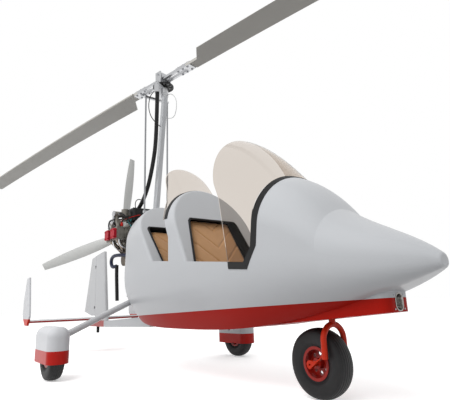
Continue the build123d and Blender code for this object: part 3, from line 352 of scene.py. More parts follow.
class Finishes(Enum):
    """Every finish on the aircraft."""

    # Polished polyester gelcoat: a pale silver with a thin wet coat
    SILVER = Gelcoat("silver_gelcoat", "#adafb2", "#a8aaad", (0.34, 0.4), coat=0.1, specular=0.3)
    # Pigmented gelcoat on the belly, a deep orange red
    RED = Gelcoat("red_gelcoat", "#9c170d", "#93150c", (0.36, 0.44), specular=0.06)
    # Tail gelcoat, plain
    TAIL = Gelcoat("tail_gelcoat", "#adaeb0", "#a7a8aa", (0.3, 0.36), coat=0.2)
    # Spat gelcoat: pale above, red below the masked edge
    SPAT = MaskedGelcoat("spat_gelcoat", "#bcbdc0", "#b6b7ba", (0.32, 0.38), second="#a2150d")
    # Tip fin gelcoat with a red foot
    TIP = MaskedGelcoat("tip_gelcoat", "#bfc0c3", "#b9babd", (0.32, 0.38), second="#b8240f", edge_mm=-402.0)
    # Stabilizer gelcoat with a red underside, whose red is darkened to paint the shade under the stabilizer
    STABILIZER = MaskedGelcoat(
        "stabilizer_gelcoat_painted_shade", "#c6c7c9", "#c0c1c3", (0.32, 0.38), second="#8e1a12", edge_mm=-379.0
    )
    # Cast acrylic bent over a mould, tinted warm grey
    SCREEN = TintedSheet(
        "tinted_acrylic", "#dbd3cb", "#d7cfc7", (0.0, 0.01), patch_mm=400.0, grain_mm=60.0, grain_depth_mm=0.01
    )
    # Extruded rubber edging, dull black
    EDGING = Finish(
        "rubber_edging", "#151515", "#1b1b1c", (0.5, 0.65),
        patch_mm=60.0, grain_mm=1.2, grain_depth_mm=0.04, specular=0.25,
    )
    # Tanned upholstery leather, caramel
    LEATHER = Leather(
        "caramel_leather", "#b48a61", "#a57b52", (0.42, 0.56), patch_mm=90.0, grain_mm=3.2, grain_depth_mm=0.12
    )
    # Moulded cockpit liner, dark grey with a spark grain
    LINER = Finish(
        "moulded_liner", "#2a2a2b", "#323233", (0.55, 0.7),
        patch_mm=120.0, grain_mm=1.6, grain_depth_mm=0.06, specular=0.25,
    )
    # Vapour-coated reflector, its mirror colour dimmed to paint the shade inside the lamp's bowl
    REFLECTOR = Finish(
        "lamp_reflector_painted_shade", "#9c9a97", "#85827e", (0.08, 0.16),
        metallic=1.0, patch_mm=30.0, grain_mm=6.0, grain_depth_mm=0.01,
    )
    # Painted square tube, silver
    TUBE = Finish(
        "painted_tube", "#b4b6b9", "#adafb2", (0.32, 0.42), metallic=0.1, coat=0.2, patch_mm=300.0, grain_mm=4.0
    )
    # Keel tube, silver with its last stretch in red
    BOOM = TwoTone(
        "boom_paint", "#a9abae", "#9fa1a4", (0.32, 0.42), metallic=0.1, coat=0.2, patch_mm=300.0, grain_mm=4.0,
        specular=0.3, second="#8e2018", normal=(-1, 0, 0), edge_mm=1290.0,
    )
    # White gear leg paint
    LEG = Finish("leg_paint", "#abacae", "#a4a5a7", (0.28, 0.38), coat=0.3, patch_mm=200.0, grain_mm=4.0)
    # Glass-fibre rotor blade, warm grey satin paint
    BLADE = Finish("blade_paint", "#aaa8a3", "#a19f9a", (0.38, 0.48), patch_mm=600.0, grain_mm=5.0, specular=0.3)
    # Carbon propeller with a pale grey paint
    PROPELLER = Finish("propeller_paint", "#c0c1bf", "#b8b9b7", (0.3, 0.4), coat=0.2, patch_mm=200.0, grain_mm=4.0)
    # Gloss wheel paint, dark red
    WHEEL_RED = Finish("wheel_paint", "#8f1a12", "#84170f", (0.28, 0.38), patch_mm=60.0, specular=0.25)
    # Gloss fork paint, orange red
    FORK_RED = Finish("fork_paint", "#b52a11", "#aa260f", (0.28, 0.38), patch_mm=80.0, specular=0.15)
    # Milled aluminium with fine tool marks
    ALLOY = Finish("milled_aluminium", "#c2c3c5", "#b6b7b9", (0.28, 0.4), metallic=1.0, patch_mm=60.0, grain_mm=1.0)
    # Drawn steel rod
    STEEL = Finish("drawn_steel", "#9c9da0", "#8f9093", (0.25, 0.38), metallic=1.0, patch_mm=80.0, grain_mm=1.2)
    # Anodised aluminium, crimson
    ANODISED = Finish("red_anodising", "#b3122f", "#a01029", (0.25, 0.35), metallic=0.75, patch_mm=40.0, grain_mm=1.0)
    # Sand-cast gear case, pale grey with a coarse skin
    CAST = Finish(
        "cast_aluminium", "#8a8780", "#67655f", (0.45, 0.6),
        metallic=0.9, patch_mm=50.0, grain_mm=1.8, grain_depth_mm=0.12,
    )
    # The same castings with rocker covers in baked crimson; the dark colour they drift to is partly cast tone, partly
    # painted shade
    ENGINE = TwoTone(
        "engine_castings_and_painted_shade", "#98948b", "#4d4a46", (0.35, 0.55), metallic=0.6, patch_mm=28.0, grain_mm=2.2,
        grain_depth_mm=0.12, second="#a80f24", normal=(0, 1, 0), edge_mm=289.5, both_sides=True,
    )
    # Stainless steel, straw-coloured by heat
    HEATED = Finish(
        "heated_steel", "#8a7f73", "#6f665d", (0.3, 0.45),
        metallic=1.0, patch_mm=90.0, grain_mm=2.0, grain_depth_mm=0.03,
    )
    # Brazed radiator core with thin upright fins
    CORE = Ribbed(
        "radiator_core", "#55575a", "#4a4c4f", (0.45, 0.6),
        metallic=0.7, patch_mm=60.0, grain_depth_mm=2.0, pitch_mm=8.0,
    )
    # Powder coat, satin black
    BLACK = Finish(
        "black_powder_coat", "#141415", "#1a1a1b", (0.38, 0.52),
        patch_mm=60.0, grain_mm=1.4, grain_depth_mm=0.05, specular=0.3,
    )
    # Rubber hose with a cloth-moulded skin
    HOSE = Finish(
        "hose_rubber", "#101011", "#161617", (0.45, 0.6),
        patch_mm=50.0, grain_mm=1.6, grain_depth_mm=0.06, specular=0.25,
    )
    # Blue silicone coolant hose
    COOLANT = Finish(
        "coolant_hose", "#121c38", "#0f1830", (0.32, 0.45),
        patch_mm=40.0, grain_mm=1.6, grain_depth_mm=0.05, specular=0.3,
    )
    # Wire in green-blue plastic
    WIRE = Finish("wire_plastic", "#1f6f73", "#1b6468", (0.4, 0.5), patch_mm=30.0, grain_mm=1.0)
    # Ignition leads and caps in red silicone
    LEAD = Finish("lead_silicone", "#a8180f", "#9c150d", (0.38, 0.5), patch_mm=30.0, grain_mm=1.0, specular=0.25)
    # Bowden cable sheath, pale grey
    CABLE = Finish("cable_sheath", "#b9babb", "#adaeaf", (0.35, 0.5), patch_mm=30.0, grain_mm=1.0)
    # Dial face, flat black
    DIAL = Finish("dial_face", "#0d0d0e", "#121213", (0.5, 0.6), patch_mm=30.0, grain_mm=1.0)
    # Dial markings, flat white
    MARKING = Finish("dial_marking", "#e6e6e2", "#deded9", (0.5, 0.6), patch_mm=30.0, grain_mm=1.0)


NODE_FINISH: dict[Finishes, tuple[str, ...]] = {
    Finishes.SILVER: ("hull_shell", "centre_fairing", "rear_fairing"),
    Finishes.RED: ("belly_pan",),
    Finishes.SCREEN: ("front_screen", "rear_screen"),
    Finishes.EDGING: ("front_trim", "rear_trim"),
    Finishes.LEATHER: ("seat_front", "seat_rear"),
    Finishes.LINER: ("seat_base", "instrument_panel"),
    Finishes.REFLECTOR: ("landing_lamp",),
    Finishes.TUBE: ("mast",),
    Finishes.BOOM: ("keel_boom",),
    Finishes.ALLOY: ("rotor_head", "rotor_spindle", "hub_bar", "prerotator"),
    Finishes.STEEL: ("control_rod_left", "control_rod_right", "axle_left", "axle_right"),
    Finishes.BLACK: ("ring_gear", "airbox", "control_stick"),
    Finishes.HOSE: ("flex_shaft", "tail_skid"),
    Finishes.BLADE: ("blade_fore", "blade_aft"),
    Finishes.PROPELLER: ("prop_blade_1", "prop_blade_2", "prop_blade_3"),
    Finishes.ANODISED: ("prop_hub",),
    Finishes.CAST: ("gearbox",),
    Finishes.ENGINE: ("engine_block",),
    Finishes.HEATED: ("exhaust",),
    Finishes.CORE: ("radiator",),
    Finishes.LEG: ("gear_bow",),
    Finishes.SPAT: ("spat_left", "spat_right"),
    Finishes.WHEEL_RED: ("rim_left", "rim_right", "nose_rim"),
    Finishes.FORK_RED: ("nose_fork",),
    Finishes.STABILIZER: ("stabilizer",),
    Finishes.TIP: ("tip_fin_left", "tip_fin_right"),
    Finishes.TAIL: ("centre_fin", "rudder"),
}


@dataclass
class Shop:
    """Keeps the finished materials and puts pieces on their bodies."""

    made: dict[Finishes, bpy.types.Material] = field(default_factory=dict)

    def material(self, finish: Finishes) -> bpy.types.Material:
        """Give a finish's material, made once.

        Args:
            finish: Which finish.

        Returns:
            The material.
        """
        if finish not in self.made:
            self.made[finish] = finish.value.build()
        return self.made[finish]

    def piece(
        self,
        name: str,
        shape: bmesh.types.BMesh,
        finish: Finishes,
        slot: str,
        body: str = "airframe",
        smooth: float = 40.0,
    ) -> bpy.types.Object:
        """Turn a bmesh into a dressed piece that rides on a body.

        Args:
            name: Name of the piece.
            shape: Its bmesh, in the frame; it is freed.
            finish: Its finish.
            slot: Record slot; not used.
            body: CAD body that carries it.
            smooth: Largest angle in degrees that is shaded as smooth.

        Returns:
            The new object.
        """
        mesh = bpy.data.meshes.new(name)
        bmesh.ops.recalc_face_normals(shape, faces=shape.faces)
        shape.to_mesh(mesh)
        shape.free()
        mesh.shade_smooth()
        mesh.set_sharp_from_angle(angle=math.radians(smooth))
        mesh.materials.append(self.material(finish))
        piece = bpy.data.objects.new(name, mesh)
        bpy.context.scene.collection.objects.link(piece)
        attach(piece, body)
        LOG.info("piece %s on %s", name, body)
        return piece


def turned_to(axis: Vector, place: Vector) -> Matrix:
    """Give the matrix that takes +Z to an axis at a place.

    Args:
        axis: Direction for +Z.
        place: Where the origin goes.

    Returns:
        The matrix.
    """
    return Matrix.Translation(place) @ axis.to_track_quat("Z", "Y").to_matrix().to_4x4()


def add_box(shape: bmesh.types.BMesh, place: Matrix, middle: Vector, size: Vector) -> None:
    """Add a box.

    Args:
        shape: Bmesh that gets it.
        place: Matrix that takes it to its place.
        middle: Its middle before that.
        size: Its size along each axis.
    """
    bmesh.ops.create_cube(
        shape, size=1.0, matrix=place @ Matrix.Translation(middle) @ Matrix.Diagonal((*size, 1.0))
    )


def add_disc(shape: bmesh.types.BMesh, place: Matrix, radius: float, height: float, sides: int, edge: float) -> None:
    """Add a round or many-sided boss with softened edges.

    Args:
        shape: Bmesh that gets it.
        place: Its foot's place, with +Z outward.
        radius: Its radius.
        height: Its height.
        sides: Number of its sides.
        edge: Width of its softened edges.
    """
    boss = bmesh.new()
    bmesh.ops.create_cone(
        boss, cap_ends=True, segments=sides, radius1=radius, radius2=radius, depth=height,
        matrix=Matrix.Translation((0, 0, height / 2)),
    )
    rims = [e for e in boss.edges if abs(e.verts[0].co.z - e.verts[1].co.z) < height / 2]
    bmesh.ops.bevel(boss, geom=rims, offset=edge, segments=2, profile=0.5, affect="EDGES", material=-1)
    bmesh.ops.transform(boss, matrix=place, verts=boss.verts)
    joined = bpy.data.meshes.new("boss")
    boss.to_mesh(joined)
    boss.free()
    shape.from_mesh(joined)
    bpy.data.meshes.remove(joined)


def add_ring(
    shape: bmesh.types.BMesh, place: Matrix, radius: float, thick: float, steps: int = 32, sides: int = 10
) -> None:
    """Add a round ring of round section.

    Args:
        shape: Bmesh that gets it.
        place: Its middle, with +Z along its axis.
        radius: Radius of its middle line.
        thick: Radius of its section.
        steps: Number of steps round it.
        sides: Number of its section's sides.
    """
    upright = Matrix.Translation((radius, 0, 0)) @ Matrix.Rotation(math.pi / 2, 4, "X")
    section = bmesh.ops.create_circle(shape, segments=sides, radius=thick, matrix=upright)["verts"]
    edges = list({e for v in section for e in v.link_edges})
    before = set(shape.verts) - set(section)
    bmesh.ops.spin(
        shape, geom=section + edges, cent=(0, 0, 0), axis=(0, 0, 1), angle=2 * math.pi, steps=steps, use_merge=True
    )
    ring = [v for v in shape.verts if v not in before]
    bmesh.ops.remove_doubles(shape, verts=ring, dist=1e-6)
    ring = [v for v in shape.verts if v not in before]
    bmesh.ops.transform(shape, matrix=place, verts=ring)


@dataclass
class SeatFace:
    """A leaning seat wall, and the places on it.

    Attributes:
        foot: Place of its foot on the waist line.
        lean: How far it leans back per metre of height.
        top: Height of its opening up the wall.
        top_half: Half width of the opening at its top.
        foot_half: Half width of the opening at its foot.
        waist_height: Height of the waist line above the origin.
        waist_slope: Slope of the waist line.
    """

    foot: float
    lean: float
    top: float
    top_half: float
    foot_half: float
    waist_height: float = 0.858
    waist_slope: float = -0.106

    @property
    def origin(self) -> Vector:
        """Middle of the wall's foot."""
        return Vector((self.foot, 0.0, self.waist_height + self.waist_slope * self.foot))

    @property
    def up(self) -> Vector:
        """Direction up along the wall."""
        return Vector((-self.lean, 0.0, 1.0)).normalized()

    @property
    def out(self) -> Vector:
        """Direction out of the wall, forward."""
        return Vector((1.0, 0.0, self.lean)).normalized()

    def at(self, side: float, up: float, out: float) -> Vector:
        """Give the place at a distance to port, up the wall and out of it."""
        return self.origin + Vector((0.0, side, 0.0)) + self.up * up + self.out * out

    def matrix(self) -> Matrix:
        """Matrix with X outward, Y to port and Z up along the wall."""
        turn = Matrix((self.out, Vector((0.0, 1.0, 0.0)), self.up)).transposed().to_4x4()
        return Matrix.Translation(self.origin) @ turn


@dataclass
class Seat:
    """A padded seat: a back with V-shaped quilting and a cushion.

    Attributes:
        node: CAD node that it stands for.
        face: Wall that its back leans on.
        pan_top: Height of the cushion's top.
        pan_front: Place of the cushion's front.
        rise: How far the back stands up behind the opening's top edge.
        inset: How far the back's sides stay inside the opening's.
        cushion_half: Half width of the cushion.
        back_out: Place of the back's front face, out of the wall.
        back_thick: Thickness of the back.
        tray_gap: Room between the opening and the tray round it.
        tray_front: Place of the tray's open front, out of the wall.
        tray_wall: Wall of the tray.
        thick: Thickness of the cushion.
        corner: Width of a pad's softened corners.
        swell: How far the filling may push a pad's cover out.
        pressure: Pressure of the filling.
        steps: Steps over which the filling settles.
        fill: Firmness of the filling; not used.
        voxel: Fineness of a pad's mesh.
        seam_pitch: Distance between seams.
        seam_slope: Slope of the V-shaped seams.
        seam_depth: Depth of a seam.
        seam_half: Half width of a seam.
    """

    node: str
    face: SeatFace
    pan_top: float
    pan_front: float
    rise: float = 0.02
    inset: float = 0.028
    cushion_half: float = 0.2
    back_out: float = -0.036
    back_thick: float = 0.046
    tray_gap: float = 0.014
    tray_front: float = -0.014
    tray_wall: float = 0.005
    thick: float = 0.072
    corner: float = 0.022
    swell: float = 0.009
    pressure: float = 4.0
    steps: int = 20
    fill: float = 0.7
    voxel: float = 0.006
    seam_pitch: float = 0.15
    seam_slope: float = 1.0
    seam_depth: float = 0.007
    seam_half: float = 0.006

    def block(self, low: Vector, high: Vector, place: Matrix, narrow: float = 1.0) -> bmesh.types.BMesh:
        """Make a block with softened corners for a pad.

        Args:
            low: Its lowest corner before it is placed.
            high: Its highest corner before it is placed.
            place: Matrix that takes it to its place.
            narrow: Share of the width that is left at its top, above zero height.

        Returns:
            The bmesh.
        """
        slack = Vector((self.swell,) * 3)
        shape = bmesh.new()
        add_box(shape, Matrix.Identity(4), (low + high) / 2, high - low - 2 * slack)
        if narrow != 1.0:
            everything = shape.verts[:] + shape.edges[:] + shape.faces[:]
            bmesh.ops.bisect_plane(shape, geom=everything, plane_co=(0, 0, 0), plane_no=(0, 0, 1))
            for vertex in shape.verts:
                vertex.co.y *= 1.0 - (1.0 - narrow) * max(vertex.co.z, 0.0) / high.z
        corners = [e for e in shape.edges if e.calc_face_angle(0.0) > 0.5]
        bmesh.ops.bevel(
            shape, geom=corners, offset=self.corner, segments=3, profile=0.5, affect="EDGES", material=-1
        )
        bmesh.ops.transform(shape, matrix=place, verts=shape.verts)
        return shape

    def inflate(self, pad: bpy.types.Object) -> None:
        """Remesh a pad finely and swell it by cloth pressure, within a cap.

        Args:
            pad: The pad's object.
        """
        remesh = pad.modifiers.new("even", "REMESH")
        remesh.mode = "VOXEL"
        remesh.voxel_size = self.voxel
        bake_modifiers(pad)
        places = [v.co.copy() for v in pad.data.vertices]
        cloth = pad.modifiers.new("pressure", "CLOTH")
        cloth.settings.use_pressure = True
        cloth.settings.uniform_pressure_force = self.pressure
        cloth.settings.effector_weights.gravity = 0.0
        cloth.settings.quality = 4
        for step in range(1, self.steps + 1):
            bpy.context.scene.frame_set(step)
        bake_modifiers(pad)
        bpy.context.scene.frame_set(1)
        for vertex, place in zip(pad.data.vertices, places):
            move = vertex.co - place
            if move.length > self.swell:
                vertex.co = place + move.normalized() * self.swell

    def quilt(self, pad: bpy.types.Object) -> None:
        """Sink the V-shaped seams into the back's front.

        Args:
            pad: The back's object.
        """
        down = 1.0 / math.hypot(1.0, self.seam_slope)
        out, up, origin = self.face.out, self.face.up, self.face.origin
        for vertex in pad.data.vertices:
            if vertex.normal.dot(out) < 0.4:
                continue
            height = (vertex.co - origin).dot(up) - self.seam_slope * abs(vertex.co.y)
            gap = (height + self.seam_pitch / 2) % self.seam_pitch - self.seam_pitch / 2
            sunk = self.seam_depth * math.exp(-((gap * down / self.seam_half) ** 2))
            vertex.co -= out * sunk

    def flute(self, pad: bpy.types.Object) -> None:
        """Sink straight channels across the cushion's top.

        Args:
            pad: The cushion's object.
        """
        for vertex in pad.data.vertices:
            if vertex.normal.z < 0.5:
                continue
            gap = (vertex.co.x + self.seam_pitch / 2) % self.seam_pitch - self.seam_pitch / 2
            vertex.co.z -= self.seam_depth * math.exp(-((gap / self.seam_half) ** 2))

    def build(self, shop: Shop) -> None:
        """Build both pads.

        Args:
            shop: Gives finishes and bodies.
        """
        drop = (self.face.origin.z - self.pan_top) * math.hypot(1.0, self.face.lean)
        half = self.face.foot_half - self.inset
        back = shop.piece(
            f"{self.node}_back",
            self.block(
                Vector((self.back_out - self.back_thick, -half, -drop)),
                Vector((self.back_out, half, self.face.top + self.rise)),
                self.face.matrix(),
                self.face.top_half / self.face.foot_half,
            ),
            Finishes.LEATHER,
            "leather",
        )
        rear = self.face.at(0.0, -drop, self.back_out).x
        cushion = shop.piece(
            f"{self.node}_cushion",
            self.block(
                Vector((rear, -self.cushion_half, self.pan_top - self.thick)),
                Vector((self.pan_front, self.cushion_half, self.pan_top)),
                Matrix.Identity(4),
            ),
            Finishes.LEATHER,
            "leather",
        )
        for pad, sew in ((back, self.quilt), (cushion, self.flute)):
            self.inflate(pad)
            sew(pad)
            pad.data.update()
            soften = pad.modifiers.new("soften", "SUBSURF")
            soften.levels = soften.render_levels = 1
            pad.data.shade_smooth()
        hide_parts(self.node)
        shop.piece(f"{self.node}_tray", self.tray(), Finishes.LINER, "liner")

    def tray(self) -> bmesh.types.BMesh:
        """Make the dark moulded tray that holds the back behind its opening.

        Returns:
            The bmesh.
        """
        behind = self.back_out - self.back_thick - self.tray_wall
        half = self.face.foot_half + self.tray_gap
        top = self.face.top + self.rise + self.tray_wall
        shape = bmesh.new()
        middle = Vector(((behind + self.tray_front) / 2, 0.0, top / 2))
        add_box(shape, Matrix.Identity(4), middle, Vector((self.tray_front - behind, 2 * half, top)))
        for vertex in shape.verts:
            if vertex.co.z > top / 2:
                vertex.co.y *= (self.face.top_half + self.tray_gap) / half
        shape.normal_update()
        open_sides = [f for f in shape.faces if f.normal.x > 0.9 or f.normal.z < -0.9]
        bmesh.ops.delete(shape, geom=open_sides, context="FACES")
        bmesh.ops.solidify(shape, geom=shape.faces[:], thickness=-self.tray_wall)
        bmesh.ops.transform(shape, matrix=self.face.matrix(), verts=shape.verts)
        return shape


def bake_modifiers(piece: bpy.types.Object) -> None:
    """Replace a piece's mesh by what its modifiers make of it.

    Args:
        piece: The piece.
    """
    graph = bpy.context.evaluated_depsgraph_get()
    mesh = bpy.data.meshes.new_from_object(piece.evaluated_get(graph))
    piece.modifiers.clear()
    piece.data = mesh


@dataclass
class Tube:
    """A round bead or hose along a smooth line.

    Attributes:
        points: Control points of the line.
        radius: Radius of the section.
        order: Order of the spline, two for straight runs.
    """

    points: tuple[Vector, ...]
    radius: float
    order: int = 3

    def curve(self, name: str) -> bpy.types.Object:
        """Make the curve object.

        Args:
            name: Its name.

        Returns:
            The curve object, in the scene.
        """
        line = bpy.data.curves.new(name, "CURVE")
        line.dimensions = "3D"
        line.bevel_depth = self.radius
        line.bevel_resolution = 4
        line.use_fill_caps = True
        spline = line.splines.new("NURBS")
        spline.points.add(len(self.points) - 1)
        for knot, place in zip(spline.points, self.points):
            knot.co = (*place, 1.0)
        spline.order_u = self.order
        spline.use_endpoint_u = True
        spline.resolution_u = 12
        tube = bpy.data.objects.new(name, line)
        bpy.context.scene.collection.objects.link(tube)
        return tube


@dataclass
class Hose:
    """A hose, cable or pipe on the airframe.

    Attributes:
        name: Name of the piece.
        route: Control points.
        radius: Radius of the section.
        finish: Its finish.
        slot: Record slot; not used.
        stands_for: CAD node that it replaces, if any.
        moulded: Whether it is a stiff pipe or elbow; not used.
        far_end: What its far end is; not used.
    """

    name: str
    route: tuple[tuple[float, float, float], ...]
    radius: float
    finish: Finishes
    slot: str = "hose"
    stands_for: str = ""
    moulded: bool = False
    far_end: str = "object"

    def build(self, shop: Shop) -> None:
        """Args:
            shop: Gives the finish.
        """
        piece = Tube(tuple(Vector(p) for p in self.route), self.radius).curve(self.name)
        piece.data.materials.append(shop.material(self.finish))
        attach(piece, "airframe")
        if self.stands_for:
            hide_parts(self.stands_for)
        LOG.info("hose %s", self.name)


@dataclass
class OpeningEdge:
    """Rubber edging round a seat opening.

    Attributes:
        name: Name of the piece.
        face: Seat wall with the opening.
        radius: Radius of the bead.
    """

    name: str
    face: SeatFace
    radius: float = 0.008

    def build(self, shop: Shop) -> None:
        """Build the bead.

        Args:
            shop: Gives finish and body.
        """
        foot, tip, top = self.face.foot_half, self.face.top_half, self.face.top
        corners = ((-foot, 0.0), (-tip, top), (tip, top), (foot, 0.0))
        points = tuple(self.face.at(side, up, 0.0) for side, up in corners)
        guide = Tube(points, self.radius, order=2).curve(self.name)
        graph = bpy.context.evaluated_depsgraph_get()
        mesh = bpy.data.meshes.new_from_object(guide.evaluated_get(graph))
        bpy.data.objects.remove(guide)
        shape = bmesh.new()
        shape.from_mesh(mesh)
        bpy.data.meshes.remove(mesh)
        shop.piece(self.name, shape, Finishes.EDGING, "trim", smooth=60.0)


@dataclass
class Rotor:
    """Bolts on the straps of the teetering rotor.

    Attributes:
        bolt_places: Places of the strap bolts out from the rotor's middle.
        strap_top: Height of a strap's outer face from the rotor's middle.
        bolt_offset: Distance of a bolt from the blades' line.
        bolt_radius: Radius of a bolt's six-sided head.
        bolt_height: Height of the head.
        washer_radius: Radius of the washer under it.
        washer_height: Height of the washer.
    """

    bolt_places: tuple[float, ...] = (0.245, 0.305, 0.365)
    strap_top: float = 0.019
    bolt_offset: float = 0.030
    bolt_radius: float = 0.009
    bolt_height: float = 0.008
    washer_radius: float = 0.01125
    washer_height: float = 0.0016

    def build(self, shop: Shop, joints: list[dict]) -> None:
        """Build the bolts on the straps.

        Args:
            shop: Gives finish and body.
            joints: The record's joints, for the rotor's axes.
        """
        by_name = {joint["name"]: joint for joint in joints}
        axis = Vector(by_name["rotor_spin"]["axis"])
        chord = Vector(by_name["rotor_teeter"]["axis"])
        middle = Vector(by_name["rotor_spin"]["pos_m"])
        span = chord.cross(axis)
        shape = bmesh.new()
        for way, place, side, level in product((1, -1), self.bolt_places, (1, -1), (1, -1)):
            foot = middle + span * way * place + chord * side * self.bolt_offset + axis * level * self.strap_top
            seat = turned_to(axis * level, foot)
            add_disc(shape, seat, self.washer_radius, self.washer_height, sides=20, edge=0.0004)
            add_disc(shape, seat, self.bolt_radius, self.bolt_height, sides=6, edge=0.0008)
        shop.piece("strap_bolts", shape, Finishes.STEEL, "steel", "rotor", smooth=30.0)


@dataclass
class Lamp:
    """Bulb and screws of the chin's landing lamp; the bulb is real, and its flat white also paints the lamp's glint.

    Attributes:
        screw_radius: Radius of a screw head.
        screw_height: Height of a screw head.
        spread: Places of the screws to the side and in height, from the lamp's middle.
        bulb_radius: Radius of the bulb.
        bulb_length: Length of the bulb from the bowl's floor.
        bowl_wall: Wall of the bowl at its floor.
        reach: How far ahead of the lamp the skin is looked for.
    """

    screw_radius: float = 0.0042
    screw_height: float = 0.002
    spread: tuple[float, float] = (0.036, 0.030)
    bulb_radius: float = 0.009
    bulb_length: float = 0.026
    bowl_wall: float = 0.0015
    reach: float = 0.1

    def seat_on(self, nodes: dict[str, bpy.types.Object], side: float, height: float) -> Matrix:
        """Find where a screw meets the chin's skin.

        Args:
            nodes: CAD nodes.
            side: Place to port.
            height: Height above the ground.

        Returns:
            Matrix with Z out of the skin.
        """
        ahead = Vector((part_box("landing_lamp")[1].x + self.reach, side, height))
        hits = [nodes[name].ray_cast(ahead, Vector((-1.0, 0.0, 0.0))) for name in ("hull_shell", "belly_pan")]
        place, normal = max(((hit[1], hit[2]) for hit in hits if hit[0]), key=lambda found: found[0].x)
        return turned_to(normal, place)

    def build(self, shop: Shop, nodes: dict[str, bpy.types.Object]) -> None:
        """Build the bulb and the screws.

        Args:
            shop: Gives finish and body.
            nodes: CAD nodes.
        """
        low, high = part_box("landing_lamp")
        middle = (low + high) / 2
        screws, bulb = bmesh.new(), bmesh.new()
        for side, level in product((1, -1), (1, -1)):
            seat = self.seat_on(nodes, side * self.spread[0], middle.z + level * self.spread[1])
            add_disc(screws, seat, self.screw_radius, self.screw_height, sides=16, edge=0.0007)
        foot = turned_to(Vector((1.0, 0.0, 0.0)), Vector((low.x + self.bowl_wall, middle.y, middle.z)))
        add_disc(bulb, foot, self.bulb_radius, self.bulb_length, sides=24, edge=0.006)
        shop.piece("lamp_screws", screws, Finishes.STEEL, "steel")
        # The bulb takes flat white paint, which also paints the glint inside the lamp
        shop.piece("lamp_bulb_and_painted_glint", bulb, Finishes.MARKING, "white")


@dataclass
class Panel:
    """Dials on the instrument panel.

    Attributes:
        dials: Place to port, height and radius of each dial.
        rim: Radius of a bezel's section.
        face_height: Height of a dial's face on the panel.
        mark_height: Height of the ticks on the panel.
        mark_thick: Thickness of ticks and needles.
        ticks: Number of a dial's ticks.
        tick_turn: Turn of the first tick and from tick to tick, in degrees.
        tick_width: Width of a tick.
        tick_reach: Place and length of a tick, as shares of the dial's radius.
        needle_turn: Turn of the first dial's needle and from dial to dial, in degrees.
        needle_width: Width of a needle.
        needle_reach: Place and length of a needle, as shares of the dial's radius.
    """

    dials: tuple[tuple[float, float, float], ...] = (
        (0.13, 1.00, 0.042), (0.0, 1.00, 0.042), (-0.13, 1.00, 0.042),
        (0.13, 0.89, 0.030), (0.045, 0.89, 0.030), (-0.045, 0.89, 0.030), (-0.13, 0.89, 0.030),
    )
    rim: float = 0.004
    face_height: float = 0.003
    mark_height: float = 0.0032
    mark_thick: float = 0.0006
    ticks: int = 10
    tick_turn: tuple[float, float] = (-135.0, 30.0)
    tick_width: float = 0.0016
    tick_reach: tuple[float, float] = (0.8, 0.2)
    needle_turn: tuple[float, float] = (-100.0, 37.0)
    needle_width: float = 0.0022
    needle_reach: tuple[float, float] = (0.35, 0.75)

    def build(self, shop: Shop) -> None:
        """Build bezels, faces, ticks and needles.

        Args:
            shop: Gives finish and body.
        """
        low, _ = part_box("instrument_panel")
        bezels, faces, marks = bmesh.new(), bmesh.new(), bmesh.new()
        back = Vector((-1.0, 0.0, 0.0))
        for number, (side, height, radius) in enumerate(self.dials):
            place = Vector((low.x, side, height))
            add_ring(bezels, turned_to(back, place + back * self.rim), radius, self.rim)
            add_disc(faces, turned_to(back, place), radius, self.face_height, sides=32, edge=0.0005)
            face = turned_to(back, place + back * self.mark_height)
            for tick in range(self.ticks):
                turn = Matrix.Rotation(math.radians(self.tick_turn[0] + self.tick_turn[1] * tick), 4, "Z")
                middle = Vector((0.0, radius * self.tick_reach[0], 0.0))
                size = Vector((self.tick_width, radius * self.tick_reach[1], self.mark_thick))
                add_box(marks, face @ turn, middle, size)
            turn = Matrix.Rotation(math.radians(self.needle_turn[0] + self.needle_turn[1] * number), 4, "Z")
            middle = Vector((0.0, radius * self.needle_reach[0], self.mark_thick))
            size = Vector((self.needle_width, radius * self.needle_reach[1], self.mark_thick))
            add_box(marks, face @ turn, middle, size)
        shop.piece("dial_bezels", bezels, Finishes.BLACK, "black_metal")
        shop.piece("dial_faces", faces, Finishes.DIAL, "liner")
        shop.piece("dial_markings", marks, Finishes.MARKING, "white")


@dataclass
class Wheels:
    """The tyres, whose ribs are centred on each wheel.

    Attributes:
        tyres: Names of the tyres' CAD nodes.
    """

    tyres: tuple[str, ...] = ("tyre_left", "tyre_right", "nose_tyre")

    def build(self, nodes: dict[str, bpy.types.Object]) -> None:
        """Dress the tyres in ribbed rubber.

        Args:
            nodes: CAD nodes.
        """
        for name in self.tyres:
            low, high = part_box(name)
            # Moulded black rubber, dull, with round ribs
            rubber = Ribbed(
                f"{name}_rubber", "#121213", "#171718", (0.5, 0.66),
                patch_mm=60.0, grain_mm=2.0, grain_depth_mm=1.6, specular=0.3, centre_mm=(low.y + high.y) / 2 / MM,
            )
            nodes[name].data.materials.clear()
            nodes[name].data.materials.append(rubber.build())
            LOG.info("tyre %s", name)


